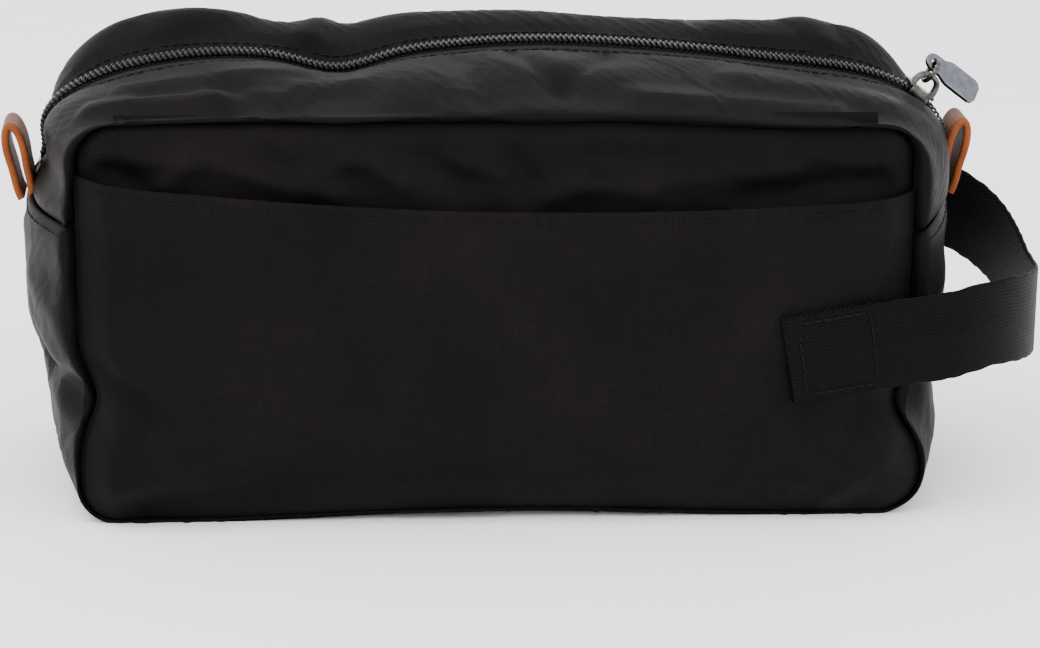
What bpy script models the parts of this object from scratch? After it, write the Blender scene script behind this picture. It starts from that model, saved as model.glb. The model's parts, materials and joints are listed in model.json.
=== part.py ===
"""A zipped toiletry bag in black nylon: two flat panels joined by gussets, a coil zip over the top,
a slip pocket on the front, a webbing grab handle round the right side and a leather loop at each zip end.

Metres, +Z up, X along the zip, the front towards -Y. The origin is on the base, at its middle.
"""
import math

import bmesh
import bpy
from mathutils import Matrix, Vector

# Driving sizes of the bag
PANEL_WIDTH = 0.234
PANEL_HEIGHT = 0.117
SEAM_DEPTH = 0.088
BULGE_WIDTH = 0.268
SIDE_SEAM_HEIGHT = 0.084
ZIP_RISE = 0.045
PANEL_CORNER = 0.011
BASE_WIDTH = 0.242
SHOULDER_HEIGHT = 0.050
ARCH_POWER = 3.6
SWELL_POWER = 0.6
WEBBING_WIDTH = 0.0254
LEATHER_WIDTH = 0.015

# Unevenness of the top: a crown behind the zip, higher at its ends, then a dip and a low rise along X
BACK_CROWN = 0.006
CROWN_SHOULDER = 0.005
CROWN_PLACE = (0.74, 0.13)
TOP_ENDS = (0.098, 0.130)
SHOULDERS = (0.070, 0.110)
TOP_DIP = (-0.050, 0.022, -0.0035)
TOP_RISE = (0.015, 0.025, 0.0012)

# Thicknesses and gaps
FABRIC = 0.0012
LINING = 0.0008
TAPE = 0.0006
WEBBING = 0.0014
LEATHER = 0.0022
GAP = 0.0003

# Depths of the layers below the outer surface of the bag
TAPE_DEPTH = FABRIC + 2 * GAP
LINING_DEPTH = TAPE_DEPTH + TAPE + 2 * GAP

# Zip: half the slot between the fabric edges, and the chain in it
SLOT_HALF = 0.006
COIL_WIDTH = 0.0023
COIL_HEIGHT = 0.0016
CLOSED_GAP = 0.00025
OPEN_GAP = 0.0024
PARTING_LENGTH = 0.018
PARTING_POWER = 0.62
COIL_INSET = 0.0004
TAPE_REACH = 0.011
CHAIN_ENDS = (0.035, 0.965)
STOP_SHARES = (0.022, 0.978)
STOP_HALF_LENGTH = 0.002
STOP_WIDTH = 0.0026
CLOSED_STOP_HALF = 0.0028

# Slider and pull, along and above the chain
SLIDER_X = 0.125
SLIDER_FAR_X = -0.080
SLIDER_LENGTH = 0.0095
SLIDER_HALF_WIDTH = 0.0047
PLATE = 0.0011
SLIDER_ROOF = 0.0011
SLIDER_FLOOR = -0.0032
SLIDER_TAPER = ((-1.0, 0.86), (-0.3, 0.93), (0.4, 1.0), (1.0, 1.0))
FLANGE = 0.0009
NECK_HALF_WIDTH = 0.0004
NECK_REACH = (0.0028, 0.0008)
BRIDGE_RADIUS = 0.0008
BRIDGE_CROWN = 0.0066
BRIDGE_HALF_SPAN = 0.0034
LINK_RADIUS = 0.0034
LINK_WIRE = 0.0006
PULL_TILT = math.radians(40)
PULL_LENGTH = 0.019
PULL_WIDTH = 0.009
PULL_NECK = 0.005
PULL_THICKNESS = 0.0014
PULL_HOLE = 0.0012
PULL_EYE = (-0.0008, 0.0040, 0.0091)
PULL_SHOULDER = (0.0045, 0.0065)
PULL_CHAMFER = 0.001

# The stretch of the front edge that folds open, between these places along X
LIP_SPAN = (-0.035, 0.060)

# Pocket on the front, its sagging top edge given at the left, middle and right
POCKET_TOP = (0.1015, 0.0905, 0.0955)
POCKET_SLACK = 0.0046
POCKET_RAMP = 0.009

# Handle: where its sewn end starts, where the loop leaves the bag, and how far it stands out
ANCHOR_X = 0.082
PIVOT_X = 0.120
HANDLE_Z = 0.0455
HANDLE_TILT = math.radians(7.5)
LOOP_REACH = 0.040
LOOP_POWER = 2.3

# Leather loops, a drop of leather standing on the side seam at each zip end
LOOP_LENGTH = 0.0215
LOOP_BELLY = 0.0036
LOOP_LEAN = math.radians(12)
LOOP_BASE = (0.1368, 0.0825)

# The raw edges inside, bound with tape
BINDING_WIDTH = 0.0022
BINDING_INSET = 0.0065
BINDING_DEPTH = 0.0040

HALF_WIDTH = PANEL_WIDTH / 2
FRONT_Y = -SEAM_DEPTH / 2
BACK_Y = SEAM_DEPTH / 2
POCKET_SEAM_Y = FRONT_Y - 2 * (FABRIC + GAP)
POCKET_FACE_Y = POCKET_SEAM_Y - POCKET_SLACK
BACK_FACE_Y = BACK_Y + FABRIC + GAP


def material(name, colour, roughness, metallic=0.0):
    """A Principled material of one colour."""
    made = bpy.data.materials.new(name)
    made.use_nodes = True
    shader = made.node_tree.nodes["Principled BSDF"]
    shader.inputs["Base Color"].default_value = (*colour, 1)
    shader.inputs["Roughness"].default_value = roughness
    shader.inputs["Metallic"].default_value = metallic
    return made


FINISHES = {
    "nylon": ((0.016, 0.015, 0.016), 0.55, 0.0),
    "lining": ((0.030, 0.029, 0.032), 0.60, 0.0),
    "zip": ((0.045, 0.044, 0.044), 0.40, 0.0),
    "webbing": ((0.014, 0.014, 0.018), 0.60, 0.0),
    "leather": ((0.360, 0.130, 0.045), 0.50, 0.0),
    "metal": ((0.230, 0.225, 0.225), 0.30, 1.0),
}


def add_object(name, mesh, finish, parent=None):
    """Put a mesh in the scene as one sub-part with its own material."""
    made = bpy.data.objects.new(name, mesh)
    bpy.context.scene.collection.objects.link(made)
    mesh.materials.append(material(name, *FINISHES[finish]))
    if parent:
        made.parent = parent
        made.matrix_parent_inverse = parent.matrix_world.inverted()
    return made


def add_joint(name, place):
    """An empty on a joint's axis, for the pieces that turn about it."""
    made = bpy.data.objects.new(name, None)
    made.location = place
    bpy.context.scene.collection.objects.link(made)
    bpy.context.view_layer.update()
    return made


def finish_mesh(bm, name):
    """Turn a bmesh into a smooth-shaded mesh with its faces pointing out."""
    bmesh.ops.recalc_face_normals(bm, faces=bm.faces)
    mesh = bpy.data.meshes.new(name)
    bm.to_mesh(mesh)
    bm.free()
    mesh.shade_smooth()
    mesh.set_sharp_from_angle(angle=math.radians(40))
    return mesh


def solid_between(name, outer, inner):
    """A closed sheet between two equal grids of points."""
    bm = bmesh.new()
    rows, columns = len(outer), len(outer[0])
    sides = [[[bm.verts.new(p) for p in row] for row in grid] for grid in (outer, inner)]
    for grid in sides:
        for i in range(rows - 1):
            for j in range(columns - 1):
                bm.faces.new((grid[i][j], grid[i + 1][j], grid[i + 1][j + 1], grid[i][j + 1]))
    rim = [(i, 0) for i in range(rows)]
    rim += [(rows - 1, j) for j in range(1, columns)]
    rim += [(i, columns - 1) for i in range(rows - 2, -1, -1)]
    rim += [(0, j) for j in range(columns - 2, 0, -1)]
    top, under = sides
    for (i, j), (k, m) in zip(rim, rim[1:] + rim[:1]):
        bm.faces.new((top[i][j], top[k][m], under[k][m], under[i][j]))
    return finish_mesh(bm, name)


def swept(name, sections, closed=False):
    """A closed solid through a row of equal rings of points, capped or joined end to end."""
    bm = bmesh.new()
    rings = [[bm.verts.new(p) for p in ring] for ring in sections]
    pairs = list(zip(rings, rings[1:]))
    if closed:
        pairs.append((rings[-1], rings[0]))
    for one, two in pairs:
        for k in range(len(one)):
            m = (k + 1) % len(one)
            bm.faces.new((one[k], one[m], two[m], two[k]))
    if not closed:
        bm.faces.new(rings[0])
        bm.faces.new(rings[-1])
    return finish_mesh(bm, name)


def plate(name, outline, y_front, y_back):
    """A flat panel with this outline in X and Z, between two depths."""
    return swept(name, [[(x, y, z) for x, z in outline] for y in (y_front, y_back)])


def box_mesh(name, low, high):
    """A box between two corners."""
    bm = bmesh.new()
    bmesh.ops.create_cube(bm, size=1)
    size = Vector(high) - Vector(low)
    middle = (Vector(high) + Vector(low)) / 2
    bm.transform(Matrix.Translation(middle) @ Matrix.Diagonal((*size, 1)))
    return finish_mesh(bm, name)


def smooth(value):
    """An even step from 0 to 1."""
    value = min(max(value, 0.0), 1.0)
    return value * value * (3 - 2 * value)


def mix(a, b, share):
    """The point or number a share of the way from a to b."""
    return a + (b - a) * share


# ---------------------------------------------------------------- outlines of the bag


def rounded(corners, radii, steps=8):
    """A path in X and Z along straight runs, with an arc at each inner corner."""
    points = [Vector(corners[0])]
    for before, corner, after, radius in zip(corners, corners[1:], corners[2:], radii):
        corner = Vector(corner)
        way_in = (corner - Vector(before)).normalized()
        way_out = (Vector(after) - corner).normalized()
        turn = way_in.angle(way_out)
        cut = radius * math.tan(turn / 2)
        start = corner - way_in * cut
        side = (way_out - way_in * way_in.dot(way_out)).normalized()
        centre = start + side * radius
        for k in range(steps + 1):
            angle = turn * k / steps
            points.append(centre - side * radius * math.cos(angle) + way_in * radius * math.sin(angle))
    points.append(Vector(corners[-1]))
    return points


def super_arch(half_width, base, rise, power, steps=160):
    """The zip's arch from the right to the left, a superellipse standing on the side seams."""
    points = []
    for k in range(steps + 1):
        angle = math.pi * k / steps
        x = half_width * math.copysign(abs(math.cos(angle)) ** (2 / power), math.cos(angle))
        points.append(Vector((x, base + rise * math.sin(angle) ** (2 / power))))
    return points


class Path:
    """A path read by the share of its length."""

    def __init__(self, points):
        self.points = points
        self.lengths = [0.0]
        for a, b in zip(points, points[1:]):
            self.lengths.append(self.lengths[-1] + (b - a).length)

    def at(self, share):
        """The point at a share of the length."""
        want = min(max(share, 0.0), 1.0) * self.lengths[-1]
        for k in range(1, len(self.points)):
            if self.lengths[k] >= want:
                run = self.lengths[k] - self.lengths[k - 1]
                part = (want - self.lengths[k - 1]) / run if run else 0.0
                return mix(self.points[k - 1], self.points[k], part)
        return self.points[-1]


SIDE_SHOULDER = (BULGE_WIDTH / 2, SHOULDER_HEIGHT)
SIDE_FOOT = (BASE_WIDTH / 2, 0.0)
LOW_CORNERS = [(-1, SIDE_SEAM_HEIGHT), (-1, 0.0), (1, 0.0), (1, SIDE_SEAM_HEIGHT)]

FRONT_TOP = Path(
    rounded(
        [
            (HALF_WIDTH, SIDE_SEAM_HEIGHT),
            (HALF_WIDTH, PANEL_HEIGHT),
            (-HALF_WIDTH, PANEL_HEIGHT),
            (-HALF_WIDTH, SIDE_SEAM_HEIGHT),
        ],
        (PANEL_CORNER, PANEL_CORNER),
    )
)
MIDDLE_TOP = Path(super_arch(BULGE_WIDTH / 2, SIDE_SEAM_HEIGHT, ZIP_RISE, ARCH_POWER))
FRONT_LOW = Path(
    rounded([(side * HALF_WIDTH, z) for side, z in LOW_CORNERS], (PANEL_CORNER, PANEL_CORNER))
)
MIDDLE_LOW = Path(
    rounded(
        [
            (-BULGE_WIDTH / 2, SIDE_SEAM_HEIGHT),
            (-SIDE_SHOULDER[0], SIDE_SHOULDER[1]),
            (-SIDE_FOOT[0], SIDE_FOOT[1]),
            SIDE_FOOT,
            SIDE_SHOULDER,
            (BULGE_WIDTH / 2, SIDE_SEAM_HEIGHT),
        ],
        (0.060, 0.016, 0.016, 0.060),
    )
)


def swell(v):
    """How far the gusset has bulged at a share of the depth: 0 at the seams, 1 in the middle."""
    return max(4 * v * (1 - v), 0.0) ** SWELL_POWER


def bell(value, centre, width):
    """A soft bump of height 1 at a centre."""
    return math.exp(-(((value - centre) / width) ** 2))


def ease(value, start, end):
    """An even step from 0 at the start to 1 at the end."""
    return smooth((value - start) / (end - start))


def top_point(t, v):
    """The outer surface over the top: t from the right side seam to the left, v from front to back."""
    flat = mix(FRONT_TOP.at(t), MIDDLE_TOP.at(t), swell(v))
    inside = 1 - ease(abs(flat.x), *TOP_ENDS)
    crown = (BACK_CROWN + CROWN_SHOULDER * ease(abs(flat.x), *SHOULDERS)) * bell(v, *CROWN_PLACE)
    uneven = sum(height * bell(flat.x, place, width) for place, width, height in (TOP_DIP, TOP_RISE))
    height = flat.y + inside * (crown + uneven * swell(v))
    return Vector((flat.x, mix(FRONT_Y, BACK_Y, v), height))


def low_point(t, v):
    """The outer surface of the sides and base: t from the left side seam to the right."""
    flat = mix(FRONT_LOW.at(t), MIDDLE_LOW.at(t), swell(v))
    return Vector((flat.x, mix(FRONT_Y, BACK_Y, v), flat.y))


def normal_at(surface, t, v):
    """The outward direction of a surface."""
    step = 0.002
    along = surface(min(t + step, 1.0), v) - surface(max(t - step, 0.0), v)
    across = surface(t, min(v + step, 1.0)) - surface(t, max(v - step, 0.0))
    return across.cross(along).normalized()


def below(surface, t, v, depth):
    """The point a depth under a surface, towards the inside of the bag."""
    return surface(t, v) - normal_at(surface, t, v) * depth


def spread(start, end, count):
    """Even values from start to end."""
    return [mix(start, end, k / (count - 1)) for k in range(count)]


def layer(name, surface, ts, vs, depth, thickness):
    """A closed sheet that lies a depth under a surface. vs gives the two edges at each t."""
    grids = []
    for deep in (depth, depth + thickness):
        grids.append([[below(surface, t, v, deep) for v in vs(t)] for t in ts])
    return solid_between(name, *grids)


def share_of_depth(y):
    """The share of the depth at a distance behind the middle."""
    return 0.5 + y / SEAM_DEPTH


def share_at_x(x):
    """The share of the top's length where the zip passes a place along X."""
    low, high = 0.0, 1.0
    for _ in range(40):
        middle = (low + high) / 2
        if top_point(middle, 0.5).x > x:
            low = middle
        else:
            high = middle
    return (low + high) / 2


SLIDER_SHARE = share_at_x(SLIDER_X)
LIP_SHARES = (share_at_x(LIP_SPAN[1]), share_at_x(LIP_SPAN[0]))
TOP_LENGTH = MIDDLE_TOP.lengths[-1]
SEAM_MARGIN = GAP / TOP_LENGTH


def stretches():
    """The front half of the top in three stretches: the right end, the lip and the left end."""
    right, left = LIP_SHARES
    return {
        "right": (2 * SEAM_MARGIN, right - SEAM_MARGIN),
        "lip": (right + SEAM_MARGIN, left - SEAM_MARGIN),
        "left": (left + SEAM_MARGIN, 1 - 2 * SEAM_MARGIN),
    }


def chain_gap(t):
    """Half the gap between the two coils, which part below the slider."""
    past = (SLIDER_SHARE - t) * TOP_LENGTH
    if past <= 0:
        return CLOSED_GAP
    return mix(CLOSED_GAP, OPEN_GAP, min(past / PARTING_LENGTH, 1.0) ** PARTING_POWER)


def shares(start, end):
    """Places along the top, closer together where the chain parts."""
    count = max(3, round((end - start) * 44) + 1)
    found = spread(start, end, count)
    near = [SLIDER_SHARE - d / TOP_LENGTH for d in (0.0, 0.0008, 0.0018, 0.004, 0.008)]
    found += [t for t in near if start + 0.002 < t < end - 0.002]
    return sorted(found)


def stretch_parent(stretch, bodies):
    """The joint empty that a stretch of the top's front half turns about, if it turns."""
    return bodies["lip"] if stretch == "lip" else None


# ---------------------------------------------------------------- panels, gussets and lining


def panel_outline(inset):
    """The round-cornered outline of a panel, drawn in from the seam."""
    side = HALF_WIDTH - inset
    top = PANEL_HEIGHT - inset
    corners = [(0, top), (-side, top), (-side, inset), (side, inset), (side, top), (0, top)]
    return [tuple(p) for p in rounded(corners, (PANEL_CORNER,) * 4, steps=5)][:-1]


def build_panels():
    """The front and back panels, with the lining panels behind them."""
    inner = LINING_DEPTH + LINING + 2 * GAP
    depth = FABRIC + GAP
    add_object("front_panel", plate("front_panel", panel_outline(0), FRONT_Y - depth, FRONT_Y - GAP), "nylon")
    add_object("back_panel", plate("back_panel", panel_outline(0), BACK_Y + GAP, BACK_Y + depth), "nylon")
    near = FRONT_Y + GAP
    far = BACK_Y - GAP
    mesh = plate("front_lining", panel_outline(inner), near, near + LINING)
    add_object("front_lining", mesh, "lining")
    mesh = plate("back_lining", panel_outline(inner), far - LINING, far)
    add_object("back_lining", mesh, "lining")


def build_lower_gusset():
    """The strip down both sides and under the base, and its lining."""
    ts = [0.002] + spread(0.04, 0.96, 41) + [0.998]
    vs = [0.0, 0.03, 0.1, 0.22, 0.36, 0.5, 0.64, 0.78, 0.9, 0.97, 1.0]
    add_object("lower_gusset", layer("lower_gusset", low_point, ts, lambda t: vs, 0, FABRIC), "nylon")
    inner = [0.05, 0.15, 0.3, 0.5, 0.7, 0.85, 0.95]
    mesh = layer("lower_lining", low_point, ts, lambda t: inner, LINING_DEPTH, LINING)
    add_object("lower_lining", mesh, "lining")


def build_upper_gusset(bodies):
    """The strips between the seams and the zip, front and back, and their linings."""
    tape_edge = share_of_depth(-TAPE_REACH)
    front = [0.0, 0.03, 0.1, 0.22, tape_edge, share_of_depth(-SLOT_HALF)]
    back = [1 - v for v in front]
    under = [0.05, 0.1, 0.22, tape_edge, share_of_depth(-SLOT_HALF - GAP)]
    for stretch, (start, end) in stretches().items():
        ts = shares(start, end)
        name = f"front_gusset_{stretch}"
        mesh = layer(name, top_point, ts, lambda t: front, 0, FABRIC)
        add_object(name, mesh, "nylon", stretch_parent(stretch, bodies))
        name = f"front_top_lining_{stretch}"
        mesh = layer(name, top_point, ts, lambda t: under, LINING_DEPTH, LINING)
        add_object(name, mesh, "lining", stretch_parent(stretch, bodies))
    ts = shares(2 * SEAM_MARGIN, 1 - 2 * SEAM_MARGIN)
    add_object("back_gusset", layer("back_gusset", top_point, ts, lambda t: back, 0, FABRIC), "nylon")
    mesh = layer("back_top_lining", top_point, ts, lambda t: [1 - v for v in under], LINING_DEPTH, LINING)
    add_object("back_top_lining", mesh, "lining")


def build_bindings():
    """The binding tape over the raw edges inside, a ring along each seam."""
    width = BINDING_WIDTH
    centre = panel_outline(BINDING_INSET)
    middle = Vector((0, PANEL_HEIGHT / 2))
    for name, y in (("front_binding", FRONT_Y + BINDING_DEPTH), ("back_binding", BACK_Y - BINDING_DEPTH)):
        sections = []
        for x, z in centre:
            place = Vector((x, z))
            inward = (middle - place).normalized() * width / 2
            out, near = place - inward, place + inward
            sections.append(
                [(out.x, y - width / 2, out.y), (out.x, y + width / 2, out.y)]
                + [(near.x, y + width / 2, near.y), (near.x, y - width / 2, near.y)]
            )
        add_object(name, swept(name, sections, closed=True), "lining")


# ---------------------------------------------------------------- pocket


def pocket_height(x):
    """The height of the pocket's top edge, which sags between its ends."""
    left, middle, right = POCKET_TOP
    share = x / HALF_WIDTH
    straight = (left + right) / 2 + (right - left) / 2 * share
    return straight - ((left + right) / 2 - middle) * (1 - share * share)


def pocket_half_width(z):
    """Half the pocket's width, which follows the panel's round lower corners."""
    if z >= PANEL_CORNER:
        return HALF_WIDTH
    rise = PANEL_CORNER - z
    return HALF_WIDTH - PANEL_CORNER + math.sqrt(PANEL_CORNER**2 - rise**2)


def build_pocket():
    """The slack front layer, sewn at the sides and the base and open along its top."""
    across = [-1, -0.97, -0.94, -0.9, -0.6, -0.3, 0, 0.3, 0.6, 0.9, 0.94, 0.97, 1]
    up = [0.0, 0.02, 0.05, 0.1, 0.2, 0.45, 0.7, 0.9, 1.0]
    outer, inner = [], []
    for share in up:
        row = []
        for side in across:
            z = share * pocket_height(side * HALF_WIDTH)
            half = pocket_half_width(z)
            to_side = half * (1 - abs(side))
            slack = POCKET_SLACK * smooth(to_side / POCKET_RAMP) * smooth(z / (1.6 * POCKET_RAMP))
            row.append(Vector((side * half, POCKET_SEAM_Y - slack, z)))
        outer.append(row)
        inner.append([p + Vector((0, FABRIC, 0)) for p in row])
    add_object("pocket_panel", solid_between("pocket_panel", outer, inner), "nylon")


# ---------------------------------------------------------------- zip


def build_tapes_and_coils(bodies):
    """The woven tapes and the coils sewn on their inner edges."""
    for stretch, (start, end) in stretches().items():
        ts = shares(start, end)
        parent = stretch_parent(stretch, bodies)
        build_tape(f"zip_tape_front_{stretch}", ts, -1, parent)
        inside = [t for t in ts if CHAIN_ENDS[0] < t < CHAIN_ENDS[1]]
        build_coil(f"zip_coil_front_{stretch}", inside, -1, parent)
    ts = shares(2 * SEAM_MARGIN, 1 - 2 * SEAM_MARGIN)
    build_tape("zip_tape_back", ts, 1, None)
    build_coil("zip_coil_back", [t for t in ts if CHAIN_ENDS[0] < t < CHAIN_ENDS[1]], 1, None)


def build_tape(name, ts, side, parent):
    """One tape, from beside the chain to under the gusset's folded edge."""
    def edges(t):
        inner = chain_gap(t) + COIL_INSET
        return [share_of_depth(side * y) for y in (inner, SLOT_HALF, TAPE_REACH)]
    add_object(name, layer(name, top_point, ts, edges, TAPE_DEPTH, TAPE), "zip", parent)


def build_coil(name, ts, side, parent):
    """One coil as its plain outer shape, a bead on the tape's edge."""
    lowest = TAPE_DEPTH - GAP
    shape = [(0.0, 0.3), (0.25, 0.0), (0.75, 0.0), (1.0, 0.3), (1.0, 1.0), (0.0, 1.0)]
    sections = []
    for t in ts:
        ring = []
        for out, down in shape:
            y = side * (chain_gap(t) + out * COIL_WIDTH)
            ring.append(below(top_point, t, share_of_depth(y), lowest - COIL_HEIGHT * (1 - down)))
        sections.append(ring)
    add_object(name, swept(name, sections), "zip", parent)


def chain_frame(t):
    """The chain's place and axes: along it to the right, to the back, and outward."""
    place = top_point(t, 0.5)
    step = 0.004
    before, after = top_point(min(t + step, 1), 0.5), top_point(max(t - step, 0), 0.5)
    along = after - before
    along.y = 0
    along.normalize()
    outward = Vector((-along.z, 0, along.x))
    frame = Matrix((along, (0, 1, 0), outward)).transposed().to_4x4()
    frame.translation = place
    return frame


def build_stops():
    """The stop across the closed end of the chain, and one on each tape at the open end."""
    depth = -(TAPE_DEPTH - GAP)
    open_end, closed_end = STOP_SHARES
    half = STOP_HALF_LENGTH
    places = {
        "zip_stop_left": (closed_end, (-CLOSED_STOP_HALF, CLOSED_STOP_HALF)),
        "zip_stop_front": (open_end, (-OPEN_GAP - STOP_WIDTH, -OPEN_GAP)),
        "zip_stop_back": (open_end, (OPEN_GAP, OPEN_GAP + STOP_WIDTH)),
    }
    for name, (t, (near, far)) in places.items():
        mesh = box_mesh(name, (-half, near, depth + 0.0001), (half, far, depth + COIL_HEIGHT))
        mesh.transform(chain_frame(t))
        add_object(name, mesh, "metal")


# ---------------------------------------------------------------- slider and pull


def tube_sections(path, radius, across, sides=8):
    """The rings of a round bar along a path that lies in the plane square to one direction."""
    sections = []
    for k, place in enumerate(path):
        way = (path[min(k + 1, len(path) - 1)] - path[max(k - 1, 0)]).normalized()
        up = way.cross(across)
        ring = []
        for m in range(sides):
            angle = 2 * math.pi * m / sides
            ring.append(place + across * radius * math.cos(angle) + up * radius * math.sin(angle))
        sections.append(ring)
    return sections


def build_slider_body(parent, frame):
    """Two plates joined by a neck between the coils, with a flange down each side."""
    half = SLIDER_LENGTH / 2
    wide = SLIDER_HALF_WIDTH
    inside = wide - FLANGE
    roof, floor = SLIDER_ROOF, SLIDER_FLOOR
    upper = [(-wide, roof + PLATE), (-wide, -FLANGE), (-inside, -FLANGE), (-inside, roof)]
    upper += [(-y, z) for y, z in reversed(upper)]
    lower = [(-wide, floor), (-wide, floor - PLATE), (wide, floor - PLATE), (wide, floor)]
    bm = bmesh.new()
    for shape in (upper, lower):
        rings = []
        for share, narrow in SLIDER_TAPER:
            rings.append([bm.verts.new((share * half, y * narrow, z)) for y, z in shape])
        for one, two in zip(rings, rings[1:]):
            for k in range(len(one)):
                m = (k + 1) % len(one)
                bm.faces.new((one[k], one[m], two[m], two[k]))
        bm.faces.new(rings[0])
        bm.faces.new(rings[-1])
    mesh = finish_mesh(bm, "slider_plates")
    mesh.transform(frame)
    plates = add_object("slider_body", mesh, "metal", parent)
    low = (half - NECK_REACH[0], -NECK_HALF_WIDTH, floor - PLATE / 2)
    high = (half - NECK_REACH[1], NECK_HALF_WIDTH, roof + PLATE / 2)
    neck = box_mesh("neck", low, high)
    neck.transform(frame)
    cutter = bpy.data.objects.new("slider_neck_guide", neck)
    bpy.context.scene.collection.objects.link(cutter)
    cutter.hide_render = True
    cutter.display_type = "WIRE"
    join = plates.modifiers.new("neck", "BOOLEAN")
    join.operation = "UNION"
    join.solver = "EXACT"
    join.object = cutter


def build_bridge(parent, frame):
    """The arched bar on the slider that the link hangs on."""
    foot = SLIDER_ROOF + PLATE + GAP
    rise = BRIDGE_CROWN - foot
    path = []
    for k in range(13):
        angle = math.pi * (1 - k / 12)
        reach = math.copysign(abs(math.cos(angle)) ** 0.7, math.cos(angle)) * BRIDGE_HALF_SPAN
        path.append(Vector((reach, 0, foot + rise * math.sin(angle) ** 0.8)))
    mesh = swept("slider_bridge", tube_sections(path, BRIDGE_RADIUS, Vector((0, 1, 0))))
    mesh.transform(frame)
    add_object("slider_bridge", mesh, "metal", parent)


def pull_axes():
    """The pull's axes over the slider: along it, across it towards the back, and out of its face."""
    across = Vector((0, math.cos(PULL_TILT), math.sin(PULL_TILT)))
    return Vector((1, 0, 0)), across, Vector((1, 0, 0)).cross(across)


def build_link(parent, frame):
    """The wire ring round the bridge that carries the pull."""
    along, across, face = pull_axes()
    eye = Vector(PULL_EYE)
    centre = eye - across * LINK_RADIUS
    sections = []
    for k in range(24):
        angle = 2 * math.pi * k / 24
        out = across * math.cos(angle) + face * math.sin(angle)
        ring = []
        for m in range(6):
            turn = 2 * math.pi * m / 6
            offset = out * math.cos(turn) + along * math.sin(turn)
            ring.append(centre + out * LINK_RADIUS + offset * LINK_WIRE)
        sections.append(ring)
    mesh = swept("pull_link", sections, closed=True)
    mesh.transform(frame)
    add_object("pull_link", mesh, "metal", parent)


def build_pull(parent, frame):
    """The flat pull, narrow round its eye and wide where the fingers hold it."""
    along, across, face = pull_axes()
    eye = Vector(PULL_EYE)
    neck, half, end = PULL_NECK / 2, PULL_WIDTH / 2, PULL_LENGTH - PULL_NECK / 2
    outline = []
    for k in range(9):
        angle = math.pi / 2 + math.pi * k / 8
        outline.append((neck * math.cos(angle), neck * math.sin(angle)))
    edge = [(PULL_SHOULDER[0], -neck), (PULL_SHOULDER[1], -half)]
    edge += [(end - PULL_CHAMFER, -half), (end, -half + PULL_CHAMFER)]
    outline += edge + [(x, -w) for x, w in reversed(edge)]
    bm = bmesh.new()
    rings = []
    for side in (-1, 1):
        shift = face * side * PULL_THICKNESS / 2
        rings.append([bm.verts.new(eye + along * x + across * w + shift) for x, w in outline])
    hole = []
    for side in (-1, 1):
        ring = []
        for k in range(len(outline)):
            angle = math.pi / 2 + 2 * math.pi * k / len(outline)
            place = along * PULL_HOLE * math.cos(angle) + across * PULL_HOLE * math.sin(angle)
            ring.append(bm.verts.new(eye + place + face * side * PULL_THICKNESS / 2))
        hole.append(ring)
    for one, two in ((rings[0], rings[1]), (hole[0], hole[1]), (rings[0], hole[0]), (rings[1], hole[1])):
        for k in range(len(one)):
            m = (k + 1) % len(one)
            bm.faces.new((one[k], one[m], two[m], two[k]))
    mesh = finish_mesh(bm, "pull_tab")
    mesh.transform(frame)
    add_object("pull_tab", mesh, "metal", parent)


def slider_turning_point(rest, far):
    """Where the slider turns about so that it lands on the chain at both ends of its travel."""
    start, end = rest.translation, far.translation
    angle = far.col[0].xyz.angle(rest.col[0].xyz)
    chord = end - start
    down = Vector((chord.z, 0, -chord.x)).normalized()
    if down.z > 0:
        down.negate()
    return (start + end) / 2 + down * chord.length / 2 / math.tan(angle / 2)


# ---------------------------------------------------------------- handle and leather loops


def handle_place(reach):
    """A place on the handle's line in X and Z, a distance past the point it swings about."""
    start = Vector((ANCHOR_X, HANDLE_Z))
    way = Vector((math.cos(HANDLE_TILT), math.sin(HANDLE_TILT)))
    to_pivot = (PIVOT_X - ANCHOR_X) / math.cos(HANDLE_TILT)
    return start + way * (to_pivot + reach)


def build_anchor(name, y_near, y_far):
    """A folded, sewn end of the handle, two layers of webbing thick."""
    up = Vector((-math.sin(HANDLE_TILT), math.cos(HANDLE_TILT))) * WEBBING_WIDTH / 2
    round_end = WEBBING_WIDTH / 2
    far = handle_place(-round_end - GAP)
    near = handle_place(-(PIVOT_X - ANCHOR_X) / math.cos(HANDLE_TILT))
    outline = [near - up, far - up, far + up, near + up]
    add_object(name, plate(name, [tuple(p) for p in outline], y_near, y_far), "webbing")


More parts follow.
